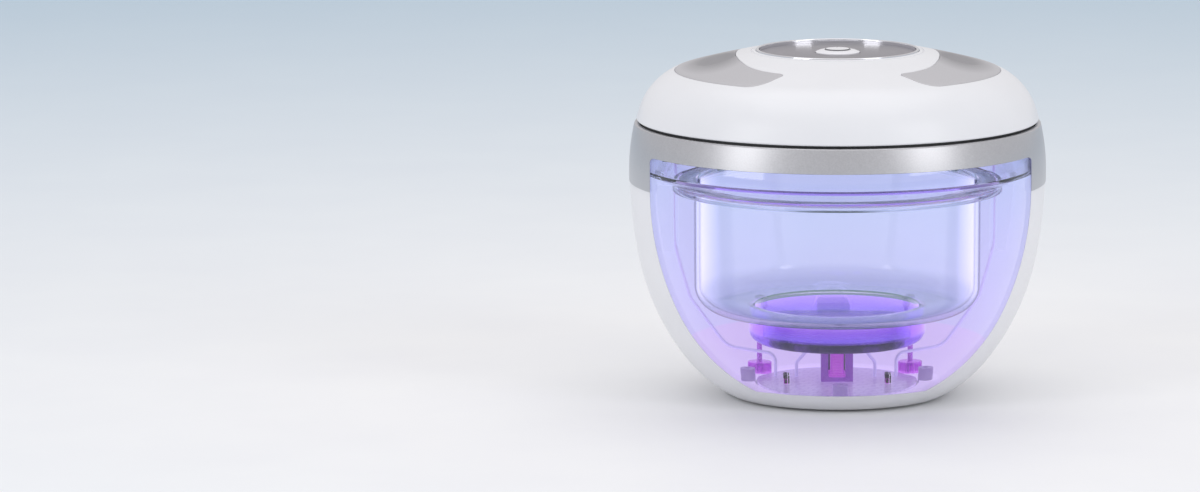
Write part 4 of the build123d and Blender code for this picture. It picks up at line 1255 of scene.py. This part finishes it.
lid_low, lid_wall, lid_edge = 87.3, 2.6, 0.5
grip_thick, grip_gap, soft_edge = 1.2, 0.1, 0.28
hollow_at, hollow_deep, hollow_across, hollow_along = 38.0, 2.2, 12.2, 23.8
grip_outer, grip_heel_y, grip_heel_ease, grip_tip_ease = 51.0, 43.8, 6.0, 2.0
grip_waist_x, grip_bend, grip_tip = 31.8, (29.2, 20.0), (16.8, 35.7)
seat_r, seat_z, seat_under, hole_r = 25.6, 107.3, 106.1, 7.1
hub_r, bead_r, bead_size = 28.1, 26.9, 0.3
cdt_inner, cdt_outer, lid_columns, dome_pitch, grip_pitch = 27.5, 54.0, 240, 1.25, 0.8
inner_rings = (50, 47, 44, 41, 38, 35, 32, 30, hub_r)
seat_edge = 0.15
crown_x, _, crown_radius = casing[-1][:3]


def dome_z(r, inset=0.0):
    """Height of the form's upper half at a radius."""
    for x, mid, radius, low, high in reversed(casing):
        reach = radius - inset
        if r - x <= reach * cos(radians(low)) + 1e-6:
            return mid + sqrt(max(0.0, reach * reach - (r - x) ** 2))
    return widest_z


hollow_slope = asin((hollow_at - crown_x) / crown_radius)
hollow_seat = Vector((hollow_at, 0, dome_z(hollow_at)))
hollow_up = Vector((sin(hollow_slope), 0, cos(hollow_slope)))
hollow_out = Vector((cos(hollow_slope), 0, -sin(hollow_slope)))


def hollow_z(x, y, inset):
    """Height of a finger hollow's surface over a place, or none where the place is outside it."""
    z = dome_z(hypot(x, y), inset)
    for _ in range(3):
        offset = Vector((x, y, z)) - hollow_seat
        across, up = offset.dot(hollow_out), offset.dot(hollow_up)
        if abs(across) >= hollow_across + inset:
            return None
        reach = hollow_along - hollow_across + sqrt((hollow_across + inset) ** 2 - across**2)
        if abs(y) >= reach:
            return None
        target = hollow_along - hollow_deep - sqrt(reach**2 - y**2)
        z += (target - up) / hollow_up.z
    return z


def pressed_z(x, y, inset=0.0):
    """Height of the lid's form with the finger hollows pressed in, and a soft edge round them."""
    plain = dome_z(hypot(x, y), inset)
    hollow = hollow_z(abs(x), y, inset)
    if hollow is None:
        return plain
    ease = 0.25 + 0.9 * max(0.0, min(1.0, (hypot(x, y) - hollow_at + 3) / 8))
    share = max(0.0, min(1.0, 0.5 + (hollow - plain) / (2 * ease)))
    return hollow + (plain - hollow) * share - ease * share * (1 - share)


def grip_plan(grow, side):
    """Plan outline of a grip, grown outwards: tangent arcs at the rim, waist and tail, with eased
    corners at the heels and tips."""
    bend, tip = Vector(grip_bend), Vector(grip_tip)
    waist_middle = (grip_waist_x**2 - bend.length_squared) / (2 * (grip_waist_x - bend.x))
    waist_radius = grip_waist_x - waist_middle
    out = (bend - Vector((waist_middle, 0))).normalized()
    reach = tip - bend
    tail_radius = reach.length_squared / (2 * -out.dot(reach))
    tail_middle = bend - out * tail_radius
    heel = Vector((sqrt(grip_outer**2 - grip_heel_y**2), grip_heel_y))
    along = (heel - tip).normalized()
    outward = Vector((-along.y, along.x))

    def eased_middle(middle, distance, ease):
        """Middle of a round that touches the end line and a circle."""
        foot = middle - tip
        across = foot.dot(outward)
        drop = -ease - across
        slide = sqrt(distance**2 - drop**2)
        return [middle + outward * drop + along * s * slide for s in (-1, 1)]

    heel_middle = max(
        eased_middle(Vector((0, 0)), grip_outer - grip_heel_ease, grip_heel_ease),
        key=lambda p: p.x,
    )
    tip_middle = min(
        eased_middle(tail_middle, tail_radius + grip_tip_ease, grip_tip_ease),
        key=lambda p: (p - tip).length,
    )

    def curve(middle, radius, start, end, count):
        """Points round a middle, from one angle to another."""
        angles = [start + (end - start) * i / count for i in range(count + 1)]
        return [middle + Vector((cos(a), sin(a))) * radius for a in angles]

    def heading(v):
        """Angle of a vector."""
        return atan2(v.y, v.x)

    rim_end = heading(heel_middle)
    end_line = heading(outward)
    tip_end = heading(tail_middle - tip_middle)
    tail_start = heading(tip_middle - tail_middle)
    line = curve(Vector((0, 0)), grip_outer + grow, 0, rim_end, 48)
    line += curve(heel_middle, grip_heel_ease + grow, rim_end, end_line, 10)
    line += curve(tip_middle, grip_tip_ease + grow, end_line, tip_end % (2 * pi), 12)
    line += curve(tail_middle, tail_radius - grow, tail_start, heading(out), 14)
    line += curve(Vector((waist_middle, 0)), waist_radius - grow, heading(out), 0, 20)
    upper = [line[0]]
    for point in line[1:]:
        if (point - upper[-1]).length > 0.02:
            upper.append(point)
    lower = [Vector((p.x, -p.y)) for p in reversed(upper[1:-1])]
    return [Vector((side * p.x, p.y)) for p in upper + lower]


def inside(point, loop):
    """True where a point lies in a closed loop."""
    found = False
    for a, b in zip(loop, loop[1:] + loop[:1]):
        if (a.y > point.y) != (b.y > point.y):
            if point.x < (b.x - a.x) * (point.y - a.y) / (b.y - a.y) + a.x:
                found = not found
    return found


def sheet_over(made, loops, extra, height, keep):
    """A triangulated sheet over plan loops and more points, lifted to a height rule. Loops come as
    points and a drop each. Returns the vertices of every loop."""
    points, edges, drops = [], [], []
    for loop, drop in loops:
        first = len(points)
        points += loop
        drops += [drop] * len(loop)
        edges += [(first + i, first + (i + 1) % len(loop)) for i in range(len(loop))]
    points += extra
    drops += [0.0] * len(extra)
    flat, _, faces, origin, _, _ = delaunay_2d_cdt([Vector(p) for p in points], edges, [], 0, 1e-6)
    verts = []
    for p, source in zip(flat, origin):
        drop = drops[source[0]] if source else 0.0
        verts.append(made.verts.new(Vector((p.x, p.y, height(p.x, p.y) - drop)) * MM))
    for face in faces:
        middle = sum((flat[i] for i in face), Vector((0, 0))) / len(face)
        if keep(middle):
            made.faces.new([verts[i] for i in face])
    found, place = [], {}
    for index, source in enumerate(origin):
        for s in source:
            place[s] = verts[index]
    first = 0
    for loop, _ in loops:
        found.append([place[first + i] for i in range(len(loop))])
        first += len(loop)
    return found


def edge_drop(distance):
    """How far a softened edge is below its surface, at a distance from the edge."""
    return soft_edge - sqrt(max(0.0, soft_edge**2 - (soft_edge - distance) ** 2))


edge_steps = (0.0, 0.04, 0.12, soft_edge)


def lid_mesh():
    """The lid's shell: dome with the two grip pockets, badge seat, hub and inner wall."""
    made = bmesh.new()
    holes = {side: grip_plan(0.0, side) for side in (1, -1)}
    wide = {side: grip_plan(soft_edge + 0.5, side) for side in (1, -1)}
    loops = []
    for side in (1, -1):
        loops += [(grip_plan(grow, side), edge_drop(grow)) for grow in edge_steps]
    ring = circle_points(1.0, lambda x, y: Vector((x, y)), lid_columns)
    outer_loop = [p * cdt_outer for p in ring]
    inner_loop = [p * cdt_inner for p in ring]
    loops += [(outer_loop, 0.0), (inner_loop, 0.0)]
    extra = []
    r = cdt_inner + 1.2
    while r < cdt_outer - 0.8:
        for p in ring[:: 2 if r < 40 else 1]:
            if not any(inside(p * r, wide[side]) for side in (1, -1)):
                extra.append(p * r)
        r += dome_pitch

    def top(x, y):
        """Height of the plain dome."""
        return dome_z(hypot(x, y))

    def kept(p):
        """True on the dome between its rings and outside the pockets."""
        return cdt_inner < p.length < cdt_outer and not any(inside(p, holes[s]) for s in (1, -1))

    found = sheet_over(made, loops, extra, top, kept)
    for number, side in enumerate((1, -1)):
        floor_loops = sheet_over(
            made,
            [(grip_plan(0.0, side), 0.0)],
            grip_points(side),
            lambda x, y: pressed_z(x, y, grip_thick),
            lambda p, side=side: inside(p, holes[side]),
        )
        strip(made, [found[number * len(edge_steps)], floor_loops[0]], closed=True)

    def ring_row(r, z):
        """One ring of vertices that matches the dome's columns."""
        return [made.verts.new(Vector((p.x * r, p.y * r, z)) * MM) for p in ring]

    side_line = casing_line(lid_low, dome_z(cdt_outer))[::-1]
    side_line = [(r, z) for r, z in side_line if z > lid_low + lid_edge]
    rim_r = casing_r(lid_low + lid_edge, lid_edge)
    slope_x, slope_z, _ = casing_normal(casing_r(lid_low + lid_edge), lid_low + lid_edge)
    first = atan2(slope_z, slope_x)
    rows = [found[-2]] + [ring_row(r, z) for r, z in side_line[1:]]
    for i in range(1, 7):
        angle = first - (first + pi / 2) * i / 6
        rows.append(ring_row(rim_r + lid_edge * cos(angle), lid_low + lid_edge + lid_edge * sin(angle)))
    rows.append(ring_row(casing_r(lid_low, lid_wall), lid_low))
    rows += [ring_row(r, z) for r, z in casing_line(lid_low, seat_under - 2.6, lid_wall)[1:] if r > 52]
    rows += [ring_row(r, lid_inner(r)) for r in inner_rings]
    rows += [ring_row(hub_r, seat_under), ring_row(hole_r, seat_under), ring_row(hole_r, seat_z)]
    rows += [ring_row(seat_r, seat_z)]
    rows += [ring_row(seat_r, dome_z(seat_r) - seat_edge)]
    rows += [ring_row(r, dome_z(r)) for r in (seat_r + seat_edge, bead_r - bead_size - 0.1)]
    for i in range(7):
        angle = pi * i / 6
        r = bead_r - bead_size * cos(angle)
        rows.append(ring_row(r, dome_z(r) - bead_size * sin(angle)))
    rows += [ring_row(bead_r + bead_size + 0.1, dome_z(bead_r + bead_size + 0.1)), found[-1]]
    strip(made, rows, closed=True)
    return sealed(made, 0.002)


def lid_inner(r):
    """Height of the lid's inner wall, kept under the pressed hollows."""
    return min(dome_z(r, lid_wall), dome_z(r) - hollow_deep - grip_thick - 0.4)


def grip_points(side):
    """Places inside a grip's outline for its sheets."""
    limit = grip_plan(-soft_edge - 0.25, side)
    low_x, high_x = min(p.x for p in limit), max(p.x for p in limit)
    found = []
    for i in range(ceil((high_x - low_x) / grip_pitch)):
        for j in range(-60, 61):
            p = Vector((low_x + grip_pitch * (i + 0.5 * (j % 2)), j * grip_pitch * 0.87))
            if inside(p, limit):
                found.append(p)
    return found


def grip_mesh(side):
    """One grip: softened top with its hollow, straight sides and an underside."""
    made = bmesh.new()
    outline = grip_plan(-grip_gap, side)
    loops = [(grip_plan(-grip_gap - step_in, side), edge_drop(step_in)) for step_in in edge_steps]

    def kept(p):
        """True inside the outline."""
        return inside(p, outline)

    top = sheet_over(made, loops, grip_points(side), pressed_z, kept)
    under = sheet_over(
        made,
        [(outline, 0.0)],
        grip_points(side),
        lambda x, y: pressed_z(x, y, grip_thick - 0.05),
        kept,
    )
    strip(made, [top[0], under[0]], closed=True)
    return sealed(made, 0.002)


lid_shell = mesh_piece("lid_dome", lid_mesh(), white_abs, 30)
true_normals(lid_shell, 0.0)
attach(lid_shell, "lid")
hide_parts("lid_shell")

# Silver paint: nearly matt, finely speckled, with painted shade in the pressed hollow.
grip_silver, tree, shader = finish("silver_painted_grip", "#BEBEC3", Metallic=0.2, Roughness=0.42)
speck = grain(tree, 0.25, 2.0)
paint = blended(tree, between(tree, speck, 0.0, 1.0), "#B6B5B9", "#C1C0C4")
flat = add(tree, "SeparateXYZ", {0: placed(tree)})
off = add(tree, "Math", {0: flat.outputs["X"]}, operation="ABSOLUTE").outputs[0]
off = add(tree, "Math", {0: off, 1: hollow_at * MM}, operation="SUBTRACT").outputs[0]
off = add(tree, "Math", {0: off, 1: hollow_across * MM}, operation="DIVIDE").outputs[0]
up = add(tree, "Math", {0: flat.outputs["Y"], 1: hollow_along * MM}, operation="DIVIDE").outputs[0]
spread = add(tree, "CombineXYZ", {0: off, 1: up}).outputs[0]
from_middle = add(tree, "VectorMath", {0: spread}, operation="LENGTH").outputs["Value"]
# Painted shade: the paint darkens towards the middle of the hollow.
pressed = between(tree, from_middle, 1.0, 0.0, (0.45, 0.95))
tree.links.new(blended(tree, pressed, paint, "#939296"), shader.inputs["Base Color"])
varied(tree, shader, speck, (0.38, 0.5))
bumped(tree, shader, speck, 0.006)
grips = ((-1, "left_grip", "finger_grip_left"), (1, "right_grip", "finger_grip_right"))
for side, node_name, piece_name in grips:
    grip = mesh_piece(piece_name, grip_mesh(side), grip_silver, 50)
    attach(grip, "lid")
    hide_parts(node_name)

# Lid tray, seal and lamps
# A white tray closes the lid from below and plugs into the deck, with a black silicone seal round
# it. A clear lens under the lamp board lets the ultraviolet lamps shine into the tank.

dress(inner_white, "lid_tray")

# Black silicone: a soft black without sharp highlights.
black_silicone = moulded("black_silicone", "#141416", "#1B1B1E", rough=(0.5, 0.62))[0]
dress(black_silicone, "lid_seal")

# Lamp bodies: they glow violet of themselves.
lamp, tree, shader = finish(
    "violet_lamp",
    "#C9A6F5",
    Roughness=0.2,
    IOR=1.45,
    Emission_Color="#8A4BFF",
    Emission_Strength=2.0,
)
varied(tree, shader, grain(tree, 0.4), (0.15, 0.3))
dress(lamp, "uv_lamps")

# Polished clear lens with a trace of violet.
lens_clear = clear("clear_lamp_lens", "#F1EAFC")[0]
dress(lens_clear, "uv_lens")

# Badge plate and bezel
# A thin aluminium disc brushed in rings, let into the lid's top, with a narrow polished chrome ring
# standing round it.

badge_r, badge_low, badge_high, badge_hole = 24.55, 107.3, 108.1, 7.1
bezel_r, bezel_bore, bezel_high = 25.5, 24.6, 109.4
brush_mm, badge_columns = 0.16, 192

# Brushed aluminium: fine rings that draw the light into fans. They are drawn coarser than the real
# brush lines, so that they show.
brushed, tree, shader = finish(
    "ring_brushed_aluminium", "#9C9A9F", Metallic=1.0, Roughness=0.34, Anisotropic=0.55
)
radius = add(tree, "VectorMath", {0: placed(tree)}, operation="LENGTH").outputs["Value"]
lines = add(tree, "CombineXYZ", {"X": radius, "Y": 0.0, "Z": 0.0}).outputs[0]
streaks = grain(tree, brush_mm, 4.0, lines)
varied(tree, shader, streaks, (0.28, 0.42), ("#94929A", "#A8A5AA"))
bumped(tree, shader, streaks, 0.006)
badge_line = [
    (badge_hole, badge_low, 0.05),
    (badge_r, badge_low, 0.05),
    (badge_r, badge_high, 0.12),
    (badge_hole, badge_high, 0.12),
]
badge = turned_piece("brushed_badge", eased(badge_line), brushed, badge_columns)
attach(badge, "lid")
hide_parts("badge_plate")

# Chrome: a sharp mirror that shows dark and bright bands side by side.
chrome, tree, shader = finish("polished_chrome", "#E2E3E8", Metallic=1.0, Roughness=0.06)
varied(tree, shader, grain(tree, 3.0), (0.04, 0.09))
bezel_line = [
    (bezel_bore, badge_low, 0.0),
    (bezel_r, badge_low, 0.05),
    (bezel_r, bezel_high, 0.3),
    (bezel_bore, bezel_high, 0.3),
    (bezel_bore, badge_low + 0.3, 0.0),
]
bezel = turned_piece("chrome_bezel", eased(bezel_line, 6), chrome, badge_columns)
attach(bezel, "lid")
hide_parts("badge_bezel")

# Power button and its switch
# A glossy white moulded button with a domed top and a raised cap, round which a grey power sign is
# printed. Its flange is held under the lid, and its stem presses a small square switch.

button_r, button_shoulder_z, button_dome_r, button_dome_z = 6.9, 108.4, 4.2, 109.1
button_cap_r, button_high, button_round = 4.0, 109.4, 0.2
flange_r, flange_low, flange_high = 8.4, 104.9, 105.9
plunger_r, plunger_low = 1.8, 103.1
sign_r, sign_width, sign_gap, bar_low, bar_high = 3.85, 0.5, 0.5, 2.9, 4.2


def button_line():
    """Half section of the button, from its plunger up and over its dome to the axis."""
    line = [(0, plunger_low), (plunger_r, plunger_low), (plunger_r, flange_low), (flange_r, flange_low)]
    line += [(flange_r, flange_high), (button_r, flange_high)]
    rise, run = button_dome_z - button_shoulder_z, button_r - button_dome_r
    slope = 2 * atan2(rise, run)
    bend = run / sin(slope)
    line += arc(button_dome_r, button_dome_z - bend, bend, pi / 2 - slope, pi / 2, 16)
    line.append((button_cap_r, button_dome_z))
    top_r, top_z = button_cap_r - button_round, button_high - button_round
    line += arc(top_r, top_z, button_round, 0.0, pi / 2, 5)
    return line + [(button_cap_r / 2, button_high), (0, button_high)]


# Glossy ABS with bright round highlights, and the grey sign printed on it.
button_white, tree, shader = moulded("glossy_white_button", "#E9E9EE", "#E5E5EA", rough=(0.2, 0.26))
flat = add(tree, "SeparateXYZ", {0: placed(tree)})
spread = add(tree, "CombineXYZ", {0: flat.outputs["X"], 1: flat.outputs["Y"]}).outputs[0]
from_axis = add(tree, "VectorMath", {0: spread}, operation="LENGTH").outputs["Value"]


def within(value, middle, half):
    """One where a value lies within half a width of a middle, with a narrow soft edge."""
    off = add(tree, "Math", {0: value, 1: middle * MM}, operation="SUBTRACT").outputs[0]
    off = add(tree, "Math", {0: off}, operation="ABSOLUTE").outputs[0]
    return between(tree, off, 1.0, 0.0, ((half - 0.03) * MM, (half + 0.03) * MM))


# The sign is a ring with a gap at its far side and a bar in the gap, on the button's top only.
ring_share = within(from_axis, sign_r, sign_width / 2)
near_gap = within(flat.outputs["X"], 0.0, sign_gap + sign_width / 2)
far_side = between(tree, flat.outputs["Y"], 0.0, 1.0, (0.5 * MM, 1.0 * MM))
gap = add(tree, "Math", {0: near_gap, 1: far_side}, operation="MULTIPLY").outputs[0]
rest = add(tree, "Math", {0: 1.0, 1: gap}, operation="SUBTRACT").outputs[0]
open_ring = add(tree, "Math", {0: ring_share, 1: rest}, operation="MULTIPLY").outputs[0]
bar_across = within(flat.outputs["X"], 0.0, sign_width / 2)
bar_along = within(flat.outputs["Y"], (bar_low + bar_high) / 2, (bar_high - bar_low) / 2)
bar_share = add(tree, "Math", {0: bar_across, 1: bar_along}, operation="MULTIPLY").outputs[0]
above = between(tree, flat.outputs["Z"], 0.0, 1.0, (108.9 * MM, 109.0 * MM))
sign = add(tree, "Math", {0: open_ring, 1: bar_share}, operation="MAXIMUM").outputs[0]
sign = add(tree, "Math", {0: sign, 1: above}, operation="MULTIPLY").outputs[0]
base_link = shader.inputs["Base Color"].links[0].from_socket
tree.links.new(blended(tree, sign, base_link, "#5C5C62"), shader.inputs["Base Color"])
button = turned_piece("domed_button", button_line(), button_white, 96, smooth=30)
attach(button, "button")
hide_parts("power_button")
dress(button_white, "switch_stem")
